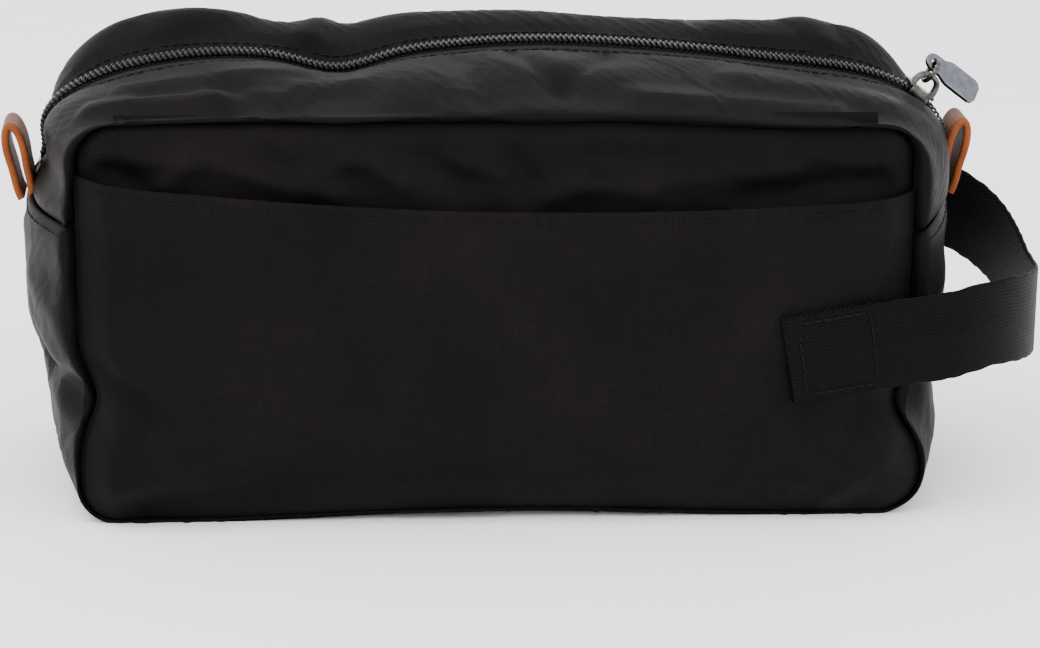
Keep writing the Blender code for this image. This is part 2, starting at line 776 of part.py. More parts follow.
def build_handle(parent):
    """The free loop of webbing, from the front of the bag round its right side to the back."""
    front = POCKET_FACE_Y - GAP - 1.5 * WEBBING
    back = BACK_FACE_Y + GAP + 1.5 * WEBBING
    middle, half = (front + back) / 2, (back - front) / 2
    up = Vector((-math.sin(HANDLE_TILT), math.cos(HANDLE_TILT)))
    round_end = WEBBING_WIDTH / 2
    path = []
    ends = [(-round_end * math.cos(a), round_end * max(math.sin(a), 0.04)) for a in spread(0, math.pi / 2, 7)]
    for reach, wide in ends[:-1]:
        path.append((reach, front, wide))
    for k in range(25):
        angle = math.pi * k / 24
        reach = LOOP_REACH * math.sin(angle) ** (2 / LOOP_POWER)
        y = middle - half * math.copysign(abs(math.cos(angle)) ** (2 / LOOP_POWER), math.cos(angle))
        path.append((reach, y, round_end))
    for reach, wide in reversed(ends[:-1]):
        path.append((reach, back, wide))
    outer, inner = [], []
    for k, (reach, y, wide) in enumerate(path):
        before, after = path[max(k - 1, 0)], path[min(k + 1, len(path) - 1)]
        way = Vector((after[0] - before[0], after[1] - before[1])).normalized()
        for grid, side in ((outer, 1), (inner, -1)):
            shift = Vector((way.y, -way.x)) * side * WEBBING / 2
            line = handle_place(reach + shift.x)
            row = [line + up * wide * share for share in (-1, 0, 1)]
            grid.append([Vector((p.x, y + shift.y, p.y)) for p in row])
    add_object("handle_strap", solid_between("handle_strap", outer, inner), "webbing", parent)


def drop_line(count):
    """The middle line of a leather drop: up one strand, over the top and down the other."""
    points = []
    for k in range(count + 1):
        share = k / count
        angle = mix(0.04, 0.96, share) * 2 * math.pi
        height = LOOP_LENGTH * (1 - math.cos(angle)) / 2
        belly = LOOP_BELLY * math.sin(angle) * math.sin(angle / 2)
        pinch = (LEATHER / 2 + GAP) * (1 if share < 0.5 else -1) * (1 - smooth(height / LOOP_LENGTH * 2))
        points.append(Vector((belly + pinch, height)))
    return points


def build_drop(name, side, parent):
    """A strip of leather folded into a drop, standing on the side seam and leaning outward."""
    turn = Matrix.Rotation(-side * LOOP_LEAN, 2)
    base = Vector((side * LOOP_BASE[0], LOOP_BASE[1]))
    line = drop_line(26)
    outer, inner = [], []
    for k, place in enumerate(line):
        way = (line[min(k + 1, len(line) - 1)] - line[max(k - 1, 0)]).normalized()
        for grid, out in ((outer, 1), (inner, -1)):
            flat = base + turn @ (place + Vector((way.y, -way.x)) * out * LEATHER / 2)
            grid.append([Vector((flat.x, y, flat.y)) for y in (-LEATHER_WIDTH / 2, LEATHER_WIDTH / 2)])
    add_object(name, solid_between(name, outer, inner), "leather", parent)


def build():
    """Clear the scene and model the bag."""
    for old in list(bpy.data.objects):
        bpy.data.objects.remove(old)
    rest, far = chain_frame(SLIDER_SHARE), chain_frame(share_at_x(SLIDER_FAR_X))
    pivot = handle_place(0)
    bodies = {
        "lip": add_joint("lip_axis", (0, FRONT_Y, PANEL_HEIGHT)),
        "slider": add_joint("slider_axis", slider_turning_point(rest, far)),
        "link": add_joint("link_axis", rest @ Vector((0, 0, BRIDGE_CROWN))),
        "pull": add_joint("pull_axis", rest @ Vector(PULL_EYE)),
        "handle": add_joint("handle_axis", (pivot.x, 0, pivot.y)),
        "left_loop": add_joint("left_loop_axis", (-LOOP_BASE[0], 0, LOOP_BASE[1])),
        "right_loop": add_joint("right_loop_axis", (LOOP_BASE[0], 0, LOOP_BASE[1])),
    }
    build_panels()
    build_lower_gusset()
    build_upper_gusset(bodies)
    build_bindings()
    build_pocket()
    build_tapes_and_coils(bodies)
    build_stops()
    build_slider_body(bodies["slider"], rest)
    build_bridge(bodies["slider"], rest)
    build_link(bodies["link"], rest)
    build_pull(bodies["pull"], rest)
    near = POCKET_FACE_Y - GAP
    build_anchor("handle_anchor_front", near - 2 * WEBBING, near)
    near = BACK_FACE_Y + GAP
    build_anchor("handle_anchor_back", near, near + 2 * WEBBING)
    build_handle(bodies["handle"])
    build_drop("leather_loop_left", -1, bodies["left_loop"])
    build_drop("leather_loop_right", 1, bodies["right_loop"])


build()
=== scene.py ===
"""The looks of a zipped toiletry bag in black nylon twill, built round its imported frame.

Metres, +Z up, X along the zip, the front towards -Y. Every sheet of cloth is a grid over one of
the bag's surfaces, with rolled seams and soft folds. The outer sheets then settle as cloth, held
along their seams.
"""
import json
import math

import bmesh
import bpy
import numpy as np
from mathutils import Matrix, Vector


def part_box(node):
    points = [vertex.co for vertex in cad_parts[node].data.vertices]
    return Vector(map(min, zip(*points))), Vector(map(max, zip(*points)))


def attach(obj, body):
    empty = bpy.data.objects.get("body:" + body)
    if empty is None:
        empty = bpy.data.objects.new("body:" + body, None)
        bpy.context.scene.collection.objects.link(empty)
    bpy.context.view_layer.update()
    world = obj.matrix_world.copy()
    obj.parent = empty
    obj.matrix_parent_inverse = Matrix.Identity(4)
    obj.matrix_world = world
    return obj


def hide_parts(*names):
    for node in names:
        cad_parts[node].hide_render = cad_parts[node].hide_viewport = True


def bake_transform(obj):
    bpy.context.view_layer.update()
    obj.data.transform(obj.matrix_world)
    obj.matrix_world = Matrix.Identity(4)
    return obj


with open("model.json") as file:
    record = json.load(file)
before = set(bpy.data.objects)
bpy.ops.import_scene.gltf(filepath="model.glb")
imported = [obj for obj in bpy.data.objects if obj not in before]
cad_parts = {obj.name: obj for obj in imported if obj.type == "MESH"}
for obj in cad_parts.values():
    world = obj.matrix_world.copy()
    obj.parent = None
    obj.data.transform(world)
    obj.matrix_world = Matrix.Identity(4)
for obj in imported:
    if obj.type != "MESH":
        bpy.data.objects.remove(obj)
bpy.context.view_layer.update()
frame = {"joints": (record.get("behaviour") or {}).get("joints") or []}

# ---------------------------------------------------------------- sizes, from the frame

FABRIC = 0.0012
GAP = 0.0003
CLOTH = 0.0006
WEBBING = 0.0014
LEATHER = 0.0022

PANEL_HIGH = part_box("front_panel")[1]
HALF_WIDTH = PANEL_HIGH.x
PANEL_HEIGHT = PANEL_HIGH.z
FRONT_Y = PANEL_HIGH.y + GAP
BACK_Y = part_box("back_panel")[0].y - GAP
SEAM_DEPTH = BACK_Y - FRONT_Y
BULGE_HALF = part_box("lower_gusset")[1].x
SIDE_SEAM_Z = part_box("lower_gusset")[1].z
ZIP_RISE = 0.045
PANEL_CORNER = 0.011
BACK_CROWN = 0.006
ARCH_POWER = 3.6
SIDE_SHOULDER = (BULGE_HALF, 0.050)
SIDE_FOOT = (0.121, 0.0)

# Layers under the outer surface over the top
TAPE = 0.0006
TAPE_DEPTH = FABRIC + 2 * GAP
LINING_DEPTH = TAPE_DEPTH + TAPE + 2 * GAP

# Zip
HEM_HALF = 0.0058
TAPE_REACH = 0.0108
COIL_WIDTH = 0.0021
COIL_HEIGHT = 0.0017
COIL_PITCH = 0.0016
COIL_WIRE = 0.00040
CLOSED_GAP = 0.00025
OPEN_GAP = 0.0024
INTERLOCK = 0.0008
PARTING_LENGTH = 0.018
PARTING_POWER = 0.62
CHAIN_ENDS = (0.035, 0.965)
STOP_SHARES = (0.022, 0.978)
STOP_WIDTH = 0.0026
STOP_HALF_LENGTH = 0.0019
STOP_HEIGHT = 0.0017
COIL_LIFT = 0.0009
HEM_SINK = 0.0011

# Two places along X at each end of the front of the mouth; they are unpacked where a strip is cut in two,
# and not used
LIP_LEFT = (-0.078, -0.035)
LIP_RIGHT = (0.118, 0.060)
# Where a strip along the mouth is cut in two
LIP_SPLIT = 0.0125

# Pocket
POCKET_TOP = (0.1012, 0.0920, 0.0955)
POCKET_SLACK = 0.0040
POCKET_HEM = 0.0095

# Handle
STRAP_WIDTH = 0.0254
HANDLE_TILT = math.radians(9.4)
LOOP_REACH = 0.040
LOOP_POWER = 2.3
FOLD_UNDER = 0.0250
HANDLE_RISE = 0.0050
# The strap's height over its pivot, by the share of the way round the loop from front to back
LOOP_HEIGHTS = ((0.0, 0.0), (0.15, 0.0035), (0.32, 0.0005), (0.50, -0.0035), (0.70, 0.0085), (1.0, 0.0195))
BACK_SLOPE = 0.22

JOINTS = {joint["name"]: joint for joint in frame["joints"]}
HANDLE_PIVOT = Vector(JOINTS["handle_swing"]["pos_m"])
BRIDGE_CROWN = 0.0066
LOOP_LENGTH = 0.0215
LOOP_BELLY = 0.0031
LOOP_LEAN = math.radians(12)
# How far each leather loop's foot is drawn in along X and up, left and right
LOOP_SHIFT = {-1: (0.0046, 0.0024), 1: (-0.0038, 0.0026)}

# How closely the grids of cloth are spaced, and their closer rows beside a seam
CLOTH_STEP = 0.0020
FINE_ROWS = np.array([0.0, 0.0006, 0.0013, 0.0021, 0.0030])
FINE_END = 0.0042

# Cloth settling: its frames, how much larger the cloth is than its place, and how firmly it is held
CLOTH_FRAMES = 14
CLOTH_SLACK = 0.007
CLOTH_HOLD = 0.5
INSIDE_HOLD = 0.35


# ---------------------------------------------------------------- small helpers


def mix(a, b, share):
    """The value a share of the way from a to b."""
    return a + (b - a) * share


def smooth(value):
    """An even step from 0 to 1."""
    value = np.clip(value, 0.0, 1.0)
    return value * value * (3 - 2 * value)


def bell(value, centre, width):
    """A soft bump of height 1 at a centre."""
    return np.exp(-(((value - centre) / width) ** 2))


def steps(start, end, size):
    """Even values from start to end, about a size apart."""
    return np.linspace(start, end, max(3, int(round(abs(end - start) / size)) + 1))


def ripple(points, scale, seed):
    """A gentle unevenness of about -1 to 1, made of a few waves in fixed random directions."""
    draw = np.random.default_rng(seed)
    total = np.zeros(points.shape[:-1])
    waves = 7
    for _ in range(waves):
        way = draw.normal(size=3)
        way *= 2 * math.pi / scale / np.linalg.norm(way) * draw.uniform(0.6, 1.4)
        total += np.sin(points @ way + draw.uniform(0, 2 * math.pi))
    return total / math.sqrt(waves)


def folds(a, b, lines):
    """The height of soft folds. Each is a line between two places, a width and a height."""
    total = np.zeros(np.shape(a))
    for (a0, b0), (a1, b1), width, height in lines:
        da, db = a1 - a0, b1 - b0
        along = np.clip(((a - a0) * da + (b - b0) * db) / (da * da + db * db), 0, 1)
        away = (a - a0 - along * da) ** 2 + (b - b0 - along * db) ** 2
        total = total + height * np.exp(-away / width**2)
    return total


def grid_normals(points):
    """Unit normals of a grid of points, facing the way its quads face."""
    down = np.gradient(points, axis=0)
    across = np.gradient(points, axis=1)
    normal = np.cross(across, down)
    return normal / np.maximum(np.linalg.norm(normal, axis=-1, keepdims=True), 1e-12)


def grid_uvs(points):
    """Places on the cloth in metres, along the middle row and the middle column."""
    rows, columns = points.shape[:2]
    along = np.linalg.norm(np.diff(points[:, columns // 2], axis=0), axis=1)
    across = np.linalg.norm(np.diff(points[rows // 2], axis=0), axis=1)
    u = np.concatenate([[0], np.cumsum(along)])
    v = np.concatenate([[0], np.cumsum(across)])
    return np.stack(np.meshgrid(u, v, indexing="ij"), axis=-1)


# ---------------------------------------------------------------- outlines and surfaces


def rounded(corners, radii, count=8):
    """A path in X and Z along straight runs, with an arc at each inner corner."""
    points = [Vector(corners[0])]
    for before, corner, after, radius in zip(corners, corners[1:], corners[2:], radii):
        corner = Vector(corner)
        way_in = (corner - Vector(before)).normalized()
        way_out = (Vector(after) - corner).normalized()
        turn = way_in.angle(way_out)
        start = corner - way_in * radius * math.tan(turn / 2)
        side = (way_out - way_in * way_in.dot(way_out)).normalized()
        centre = start + side * radius
        for k in range(count + 1):
            angle = turn * k / count
            points.append(centre - side * radius * math.cos(angle) + way_in * radius * math.sin(angle))
    points.append(Vector(corners[-1]))
    return [tuple(p) for p in points]


def super_arch(half_width, base, rise, power, count=320):
    """The zip's arch from the right to the left, a superellipse standing on the side seams."""
    angle = np.linspace(0, math.pi, count + 1)
    x = half_width * np.sign(np.cos(angle)) * np.abs(np.cos(angle)) ** (2 / power)
    z = base + rise * np.clip(np.sin(angle), 0, 1) ** (2 / power)
    return np.stack([x, z], axis=1)


class Path:
    """A path read by the share of its length."""

    def __init__(self, points):
        self.points = np.array(points)
        runs = np.linalg.norm(np.diff(self.points, axis=0), axis=1)
        self.lengths = np.concatenate([[0], np.cumsum(runs)])
        self.length = self.lengths[-1]

    def at(self, share):
        """X and Z at a share of the length."""
        want = np.clip(share, 0, 1) * self.length
        return tuple(np.interp(want, self.lengths, self.points[:, k]) for k in (0, 1))


TOP_CORNERS = [(1, SIDE_SEAM_Z), (1, PANEL_HEIGHT), (-1, PANEL_HEIGHT), (-1, SIDE_SEAM_Z)]
LOW_CORNERS = [(-1, SIDE_SEAM_Z), (-1, 0.0), (1, 0.0), (1, SIDE_SEAM_Z)]
CORNER_PAIR = (PANEL_CORNER, PANEL_CORNER)
FRONT_TOP = Path(rounded([(side * HALF_WIDTH, z) for side, z in TOP_CORNERS], CORNER_PAIR))
FRONT_LOW = Path(rounded([(side * HALF_WIDTH, z) for side, z in LOW_CORNERS], CORNER_PAIR))
MIDDLE_TOP = Path(super_arch(BULGE_HALF, SIDE_SEAM_Z, ZIP_RISE, ARCH_POWER))
MIDDLE_LOW = Path(
    rounded(
        [
            (-BULGE_HALF, SIDE_SEAM_Z),
            (-SIDE_SHOULDER[0], SIDE_SHOULDER[1]),
            (-SIDE_FOOT[0], SIDE_FOOT[1]),
            SIDE_FOOT,
            SIDE_SHOULDER,
            (BULGE_HALF, SIDE_SEAM_Z),
        ],
        (0.060, 0.014, 0.011, 0.060),
    )
)

# How the cloth departs from those outlines: sunk and rolled seams, pinches as side, height, spread
# and depth, and how far the sides, base, seams and zip are drawn in, spread, arched or sunk
SEAM_SINK = 0.0018
SIDE_SEAM_SINK = 0.0014
ROLL = 0.0030
PINCHES = ((-1, 0.0375, 0.0095, 0.0050), (1, 0.0330, 0.0100, 0.0055))
BASE_ARCH = 0.0026
LEFT_DRAW = 0.014
RIGHT_DRAW = 0.009
FOOT_SPREAD = 0.0052
SEAM_SLUMP = 0.0016
RIGHT_SLUMP = 0.0022
LEFT_LIFT = 0.0037
LEFT_WAIST = 0.0045
ZIP_DIP = 0.0033
TOP_DIP = 0.0035
TOP_RISE = 0.0012
DIP_X = -0.044
LEFT_SHOULDER = 0.0048
RIGHT_SHOULDER = 0.0032
CROWN_PLACE = (0.74, 0.13)
SWELL_POWER = 0.6
RIGHT_LIFT = 0.0045


def swell(v):
    """How far the gusset has bulged at a share of the depth: 0 at the seams, 1 in the middle."""
    return np.maximum(4 * v * (1 - v), 0.0) ** SWELL_POWER


def depth_at(v):
    """Y at a share of the depth: sunk at the seams, rolling over just past them."""
    edge = np.minimum(v, 1 - v)
    sink = SEAM_SINK * np.exp(-edge / 0.010) - ROLL * edge / 0.02 * np.exp(1 - edge / 0.02)
    return mix(FRONT_Y, BACK_Y, v) + np.where(v < 0.5, sink, -sink)


def sagged(x, z, v=0.0):
    """The seams pulled in where the cloth buckles, the sides drawn in and the base arched."""
    at_seam = np.exp(-((np.minimum(v, 1 - v) / 0.10) ** 2))
    pulled = drawn_in(x, z, v)
    for side, height, spread, amount in PINCHES:
        near = np.where(x * side > 0, 1.0, 0.0) * smooth((np.abs(x) - 0.085) / 0.03)
        pulled = pulled - side * amount * near * bell(z, height, spread) * at_seam
    arch = BASE_ARCH * np.cos(np.clip(x / 0.105, -1, 1) * math.pi / 2) ** 2
    return pulled, z + arch * np.exp(-z / 0.012)


def drawn_in(x, z, v):
    """X with the bulging sides drawn in a little, more on the left."""
    below_slider = np.where(x > 0, smooth((0.108 - z) / 0.020), 1.0)
    share = np.where(x > 0, RIGHT_DRAW, LEFT_DRAW) * below_slider
    foot = FOOT_SPREAD * smooth((x - 0.09) / 0.03) * bell(z, 0.014, 0.020)
    waist = LEFT_WAIST * smooth((-x - 0.09) / 0.03) * bell(z, 0.097, 0.009) * swell(v)
    return x * (1 - share * swell(v)) + foot + waist


def seam_lift(x, z, v):
    """How far each side seam is drawn up: all along on the left, only away from the front on the right."""
    amount = np.where(x > 0, RIGHT_LIFT * swell(v), LEFT_LIFT)
    return amount * bell(z, SIDE_SEAM_Z, 0.014)


def settled(x, y, z):
    """Z with the front seam slumped a little and the zip sunk before its right end."""
    front = smooth((-y - 0.020) / 0.020) * smooth((z - 0.095) / 0.015)
    right = bell(x, 0.085, 0.030) * smooth((z - 0.105) / 0.012)
    return z - SEAM_SLUMP * front - RIGHT_SLUMP * right


def top_surface(t, v):
    """The outer surface over the top: t from the right side seam to the left, v from front to back."""
    front_x, front_z = FRONT_TOP.at(t)
    middle_x, middle_z = MIDDLE_TOP.at(t)
    flat_x = mix(front_x, middle_x, swell(v))
    flat_z = mix(front_z, middle_z, swell(v))
    inside = 1 - smooth((np.abs(flat_x) - 0.106) / 0.032)
    shoulder = np.where(flat_x > 0, RIGHT_SHOULDER, LEFT_SHOULDER) * smooth((np.abs(flat_x) - 0.060) / 0.040)
    crown = (BACK_CROWN + shoulder) * bell(v, *CROWN_PLACE)
    dip = -TOP_DIP * bell(flat_x, DIP_X, 0.013)
    rise = TOP_RISE * bell(flat_x, 0.015, 0.025)
    chain_dip = -ZIP_DIP * bell(flat_x, DIP_X, 0.026) * bell(v, 0.5, 0.15)
    z = flat_z + inside * (crown + chain_dip + (dip + rise) * swell(v)) + seam_lift(flat_x, flat_z, v)
    y = depth_at(v)
    x = drawn_in(flat_x, flat_z, v)
    return np.stack(np.broadcast_arrays(x, y, settled(flat_x, y, z)), axis=-1)


def low_surface(t, v):
    """The outer surface of the sides and base: t from the left side seam to the right."""
    front_x, front_z = FRONT_LOW.at(t)
    middle_x, middle_z = MIDDLE_LOW.at(t)
    x, z = sagged(mix(front_x, middle_x, swell(v)), mix(front_z, middle_z, swell(v)), v)
    return np.stack(np.broadcast_arrays(x, depth_at(v), z + seam_lift(x, z, v)), axis=-1)


def share_of_depth(y):
    """The share of the depth at a distance behind the middle."""
    return 0.5 + y / SEAM_DEPTH


def chain_frame(t):
    """The chain's place and axes: along it to the right, to the back, and outward."""
    place = Vector(top_surface(np.float64(t), np.float64(0.5)))
    step = 0.004
    ends = [Vector(top_surface(np.float64(np.clip(t + d, 0, 1)), np.float64(0.5))) for d in (step, -step)]
    along = ends[1] - ends[0]
    along.y = 0
    along.normalize()
    outward = Vector((-along.z, 0, along.x))
    made = Matrix((along, (0, 1, 0), outward)).transposed().to_4x4()
    made.translation = place
    return made


def find_slider_share():
    """The place along the top where the slider stands, from the joint at its bridge."""
    joint = Vector(JOINTS["link_swing"]["pos_m"])
    tries = np.linspace(0.02, 0.4, 1200)
    return min(tries, key=lambda t: (chain_frame(t) @ Vector((0, 0, BRIDGE_CROWN)) - joint).length)


SLIDER_SHARE = find_slider_share()
TOP_LENGTH = MIDDLE_TOP.length


def chain_gap(t):
    """Half the gap between the two coils, which part below the slider."""
    past = np.clip((SLIDER_SHARE - t) * TOP_LENGTH / PARTING_LENGTH, 0, 1)
    return mix(CLOSED_GAP, OPEN_GAP, past**PARTING_POWER)


# ---------------------------------------------------------------- folds in the cloth

# Over the top, in X and Y
TOP_FOLDS = [
    ((-0.112, -0.033), (-0.078, -0.035), 0.0042, 0.0018),
    ((-0.078, -0.035), (-0.040, -0.026), 0.0048, 0.0014),
    ((-0.100, -0.041), (-0.020, -0.042), 0.0030, -0.0008),
    ((-0.080, -0.024), (-0.068, -0.036), 0.0045, -0.0014),
    ((-0.010, -0.014), (-0.004, -0.040), 0.0050, -0.0012),
    ((0.006, -0.012), (0.018, -0.034), 0.0040, -0.0013),
    ((0.018, -0.034), (0.032, -0.014), 0.0038, -0.0010),
    ((-0.104, -0.024), (-0.052, -0.020), 0.0030, 0.0009),
    ((-0.098, -0.030), (-0.060, -0.030), 0.0026, -0.0009),
    ((0.040, -0.036), (0.095, -0.037), 0.0045, 0.0014),
    ((0.070, -0.022), (0.112, -0.030), 0.0060, 0.0012),
    ((0.095, -0.012), (0.120, -0.020), 0.0050, -0.0009),
    ((-0.042, 0.040), (-0.052, 0.012), 0.0050, 0.0026),
    ((-0.105, 0.030), (-0.060, 0.034), 0.0070, -0.0014),
    ((-0.096, 0.012), (-0.070, 0.024), 0.0050, 0.0013),
    ((0.020, 0.030), (0.060, 0.022), 0.0080, -0.0010),
    ((0.085, 0.038), (0.098, 0.012), 0.0060, 0.0014),
]

# Down the front, in X and Z
UPPER_FRONT_FOLDS = [
    ((-0.110, 0.1085), (-0.085, 0.1065), 0.0030, 0.0018),
    ((-0.106, 0.1040), (-0.100, 0.1000), 0.0042, -0.0024),
    ((-0.084, 0.1085), (-0.092, 0.0990), 0.0040, 0.0022),
    ((-0.078, 0.1060), (-0.046, 0.0965), 0.0040, 0.0022),
    ((-0.066, 0.1070), (-0.056, 0.1020), 0.0036, -0.0018),
    ((-0.052, 0.1025), (-0.039, 0.1080), 0.0034, 0.0024),
    ((-0.039, 0.1080), (-0.027, 0.1000), 0.0036, 0.0022),
    ((-0.020, 0.1060), (-0.010, 0.0980), 0.0050, -0.0018),
    ((-0.012, 0.1070), (0.001, 0.1030), 0.0032, 0.0020),
    ((0.004, 0.1060), (0.010, 0.0970), 0.0042, -0.0026),
    ((0.013, 0.0955), (0.025, 0.0995), 0.0034, 0.0026),
    ((0.025, 0.0995), (0.042, 0.0975), 0.0036, 0.0022),
    ((0.024, 0.1080), (0.060, 0.1045), 0.0042, -0.0014),
    ((0.046, 0.1010), (0.082, 0.1035), 0.0040, 0.0020),
    ((0.070, 0.0940), (0.106, 0.1000), 0.0042, -0.0024),
    ((0.088, 0.1080), (0.108, 0.1040), 0.0036, 0.0018),
]
POCKET_FOLDS = [
    ((-0.112, 0.046), (-0.100, 0.030), 0.0040, -0.0024),
    ((-0.112, 0.034), (-0.094, 0.023), 0.0045, 0.0018),
    ((-0.106, 0.012), (-0.070, 0.030), 0.0060, 0.0015),
    ((-0.098, 0.004), (-0.060, 0.016), 0.0060, -0.0016),
    ((0.108, 0.036), (0.094, 0.020), 0.0050, -0.0022),
    ((0.112, 0.026), (0.096, 0.008), 0.0045, 0.0020),
    ((0.098, 0.024), (0.086, 0.012), 0.0050, 0.0012),
    ((-0.060, 0.050), (-0.010, 0.058), 0.0160, 0.0008),
    ((0.010, 0.040), (0.060, 0.030), 0.0180, -0.0008),
    ((-0.090, 0.070), (-0.030, 0.075), 0.0140, -0.0006),
]
BACK_FOLDS = [
    ((-0.106, 0.040), (-0.080, 0.028), 0.0050, -0.0020),
    ((0.108, 0.034), (0.080, 0.024), 0.0050, -0.0020),
    ((-0.090, 0.100), (-0.040, 0.094), 0.0060, -0.0016),
    ((0.030, 0.104), (0.085, 0.098), 0.0060, 0.0014),
    ((-0.050, 0.052), (0.040, 0.060), 0.0180, 0.0012),
    ((-0.080, 0.014), (-0.020, 0.022), 0.0070, 0.0014),
]

# Down the sides, in Y and Z
SIDE_FOLDS = [
    ((-0.044, 0.036), (-0.020, 0.042), 0.0050, -0.0030),
    ((-0.020, 0.042), (0.012, 0.040), 0.0080, -0.0016),
    ((0.044, 0.034), (0.018, 0.040), 0.0055, -0.0026),
    ((-0.040, 0.060), (-0.022, 0.066), 0.0060, 0.0012),
    ((-0.036, 0.016), (-0.014, 0.020), 0.0060, 0.0012),
    ((-0.006, 0.078), (0.004, 0.058), 0.0070, 0.0012),
]


def panel_seam_distance(x, z):
    """How far a place on a panel lies inside its round-cornered seam."""
    reach_x = np.abs(x) - (HALF_WIDTH - PANEL_CORNER)
    reach_z = np.abs(z - PANEL_HEIGHT / 2) - (PANEL_HEIGHT / 2 - PANEL_CORNER)
    outside = np.hypot(np.maximum(reach_x, 0), np.maximum(reach_z, 0))
    return PANEL_CORNER - outside - np.minimum(np.maximum(reach_x, reach_z), 0)


def panel_stand(x, z):
    """How far a panel stands out of its sunk seam, without folds."""
    inside = panel_seam_distance(x, z)
    rolled = (SEAM_SINK + FABRIC) * (1 - np.exp(-np.maximum(inside, 0) / 0.0022))
    belly = 0.0022 * smooth(inside / 0.030)
    return rolled + belly - SEAM_SINK


def front_face(x, z):
    """Y of the front panel, above and behind the pocket."""
    calm = smooth((z - 0.070) / 0.020)
    drawn = 0.0012 * calm * smooth((PANEL_HEIGHT - z) / 0.012)
    return FRONT_Y - panel_stand(x, z) + drawn - folds(x, z, UPPER_FRONT_FOLDS) * calm


def pocket_face(x, z):
    """Y of the pocket's outer face."""
    side = HALF_WIDTH - np.abs(x)
    slack = POCKET_SLACK * smooth(side / 0.010) * smooth(z / 0.016)
    mouth = 0.0012 * bell(np.abs(x), 0.098, 0.010) * smooth((z - 0.075) / 0.020)
    return FRONT_Y - panel_stand(x, z) - 2 * GAP - FABRIC / 2 - slack - mouth - folds(x, z, POCKET_FOLDS)


def back_face(x, z):
    """Y of the back panel."""
    return BACK_Y + panel_stand(x, z) + folds(x, z, BACK_FOLDS)


def pocket_height(x):
    """The height of the pocket's top edge, which sags between its ends."""
    left, middle, right = POCKET_TOP
    share = x / HALF_WIDTH
    straight = (left + right) / 2 + (right - left) / 2 * share
    return straight - ((left + right) / 2 - middle) * (1 - share * share)


def panel_half_width(z):
    """Half a panel's width at a height, which follows its round corners."""
    rise = np.maximum(PANEL_CORNER - np.minimum(z, PANEL_HEIGHT - z), 0)
    return HALF_WIDTH - PANEL_CORNER + np.sqrt(np.maximum(PANEL_CORNER**2 - rise**2, 0))


# ---------------------------------------------------------------- materials


class Nodes:
    """Short ways to add and link the nodes of one material."""

    def __init__(self, name):
        self.material = bpy.data.materials.new(name)
        self.material.use_nodes = True
        self.tree = self.material.node_tree
        self.shader = self.tree.nodes["Principled BSDF"]
        self.coordinates = self.tree.nodes.new("ShaderNodeTexCoord")

    def set(self, **values):
        """Constant values on the shader's own sockets, with spaces as underscores."""
        for key, value in values.items():
            self.shader.inputs[key.replace("_", " ")].default_value = value

    def link(self, source, target):
        """Link an output to an input."""
        self.tree.links.new(source, target)

    def place(self, kind="UV", scale=(1, 1, 1), turn=0.0):
        """Coordinates in metres, scaled and turned."""
        mapping = self.tree.nodes.new("ShaderNodeMapping")
        mapping.inputs["Scale"].default_value = scale
        mapping.inputs["Rotation"].default_value = (0, 0, turn)
        self.link(self.coordinates.outputs[kind], mapping.inputs["Vector"])
        return mapping.outputs["Vector"]

    def wave(self, vector, scale, distortion=0.0):
        """Even sine bands across X."""
        made = self.tree.nodes.new("ShaderNodeTexWave")
        made.inputs["Scale"].default_value = scale
        made.inputs["Distortion"].default_value = distortion
        self.link(vector, made.inputs["Vector"])
        return made.outputs["Fac"]

    def noise(self, vector, scale, detail=3.0, rough=0.5):
        """Cloudy noise."""
        made = self.tree.nodes.new("ShaderNodeTexNoise")
        made.inputs["Scale"].default_value = scale
        made.inputs["Detail"].default_value = detail
        made.inputs["Roughness"].default_value = rough
        self.link(vector, made.inputs["Vector"])
        return made.outputs["Fac"]

    def cells(self, vector, scale):
        """Distance to the middle of irregular cells."""
        made = self.tree.nodes.new("ShaderNodeTexVoronoi")
        made.inputs["Scale"].default_value = scale
        self.link(vector, made.inputs["Vector"])
        return made.outputs["Distance"]

    def maths(self, operation, first, second):
        """One step of arithmetic; each term is an output or a number."""
        made = self.tree.nodes.new("ShaderNodeMath")
        made.operation = operation
        for socket, term in zip(made.inputs, (first, second)):
            if isinstance(term, (int, float)):
                socket.default_value = term
            else:
                self.link(term, socket)
        return made.outputs["Value"]

    def ramp(self, value, stops):
        """Colours along a value."""
        made = self.tree.nodes.new("ShaderNodeValToRGB")
        elements = made.color_ramp.elements
        while len(elements) < len(stops):
            elements.new(0.5)
        for element, (place, colour) in zip(elements, stops):
            element.position = place
            element.color = (*colour, 1)
        self.link(value, made.inputs["Fac"])
        return made.outputs["Color"]

    def span(self, value, low, high):
        """A 0 to 1 value brought to between low and high."""
        made = self.tree.nodes.new("ShaderNodeMapRange")
        made.inputs["To Min"].default_value = low
        made.inputs["To Max"].default_value = high
        self.link(value, made.inputs["Value"])
        return made.outputs["Result"]

    def colour(self, output):
        """Use an output as the base colour."""
        self.link(output, self.shader.inputs["Base Color"])

    def roughness(self, output):
        """Use an output as the roughness."""
        self.link(output, self.shader.inputs["Roughness"])

    def bump(self, layers):
        """Stack bumps, each a height output and the distance in metres that it stands."""
        normal = None
        for height, distance in layers:
            made = self.tree.nodes.new("ShaderNodeBump")
            made.inputs["Distance"].default_value = distance
            self.link(height, made.inputs["Height"])
            if normal is not None:
                self.link(normal, made.inputs["Normal"])
            normal = made.outputs["Normal"]
        self.link(normal, self.shader.inputs["Normal"])


WAVE_CYCLE = 20 / (2 * math.pi)


def bands(pitch):
    """The wave texture's scale for bands a pitch apart."""
    return 1 / (pitch * WAVE_CYCLE)


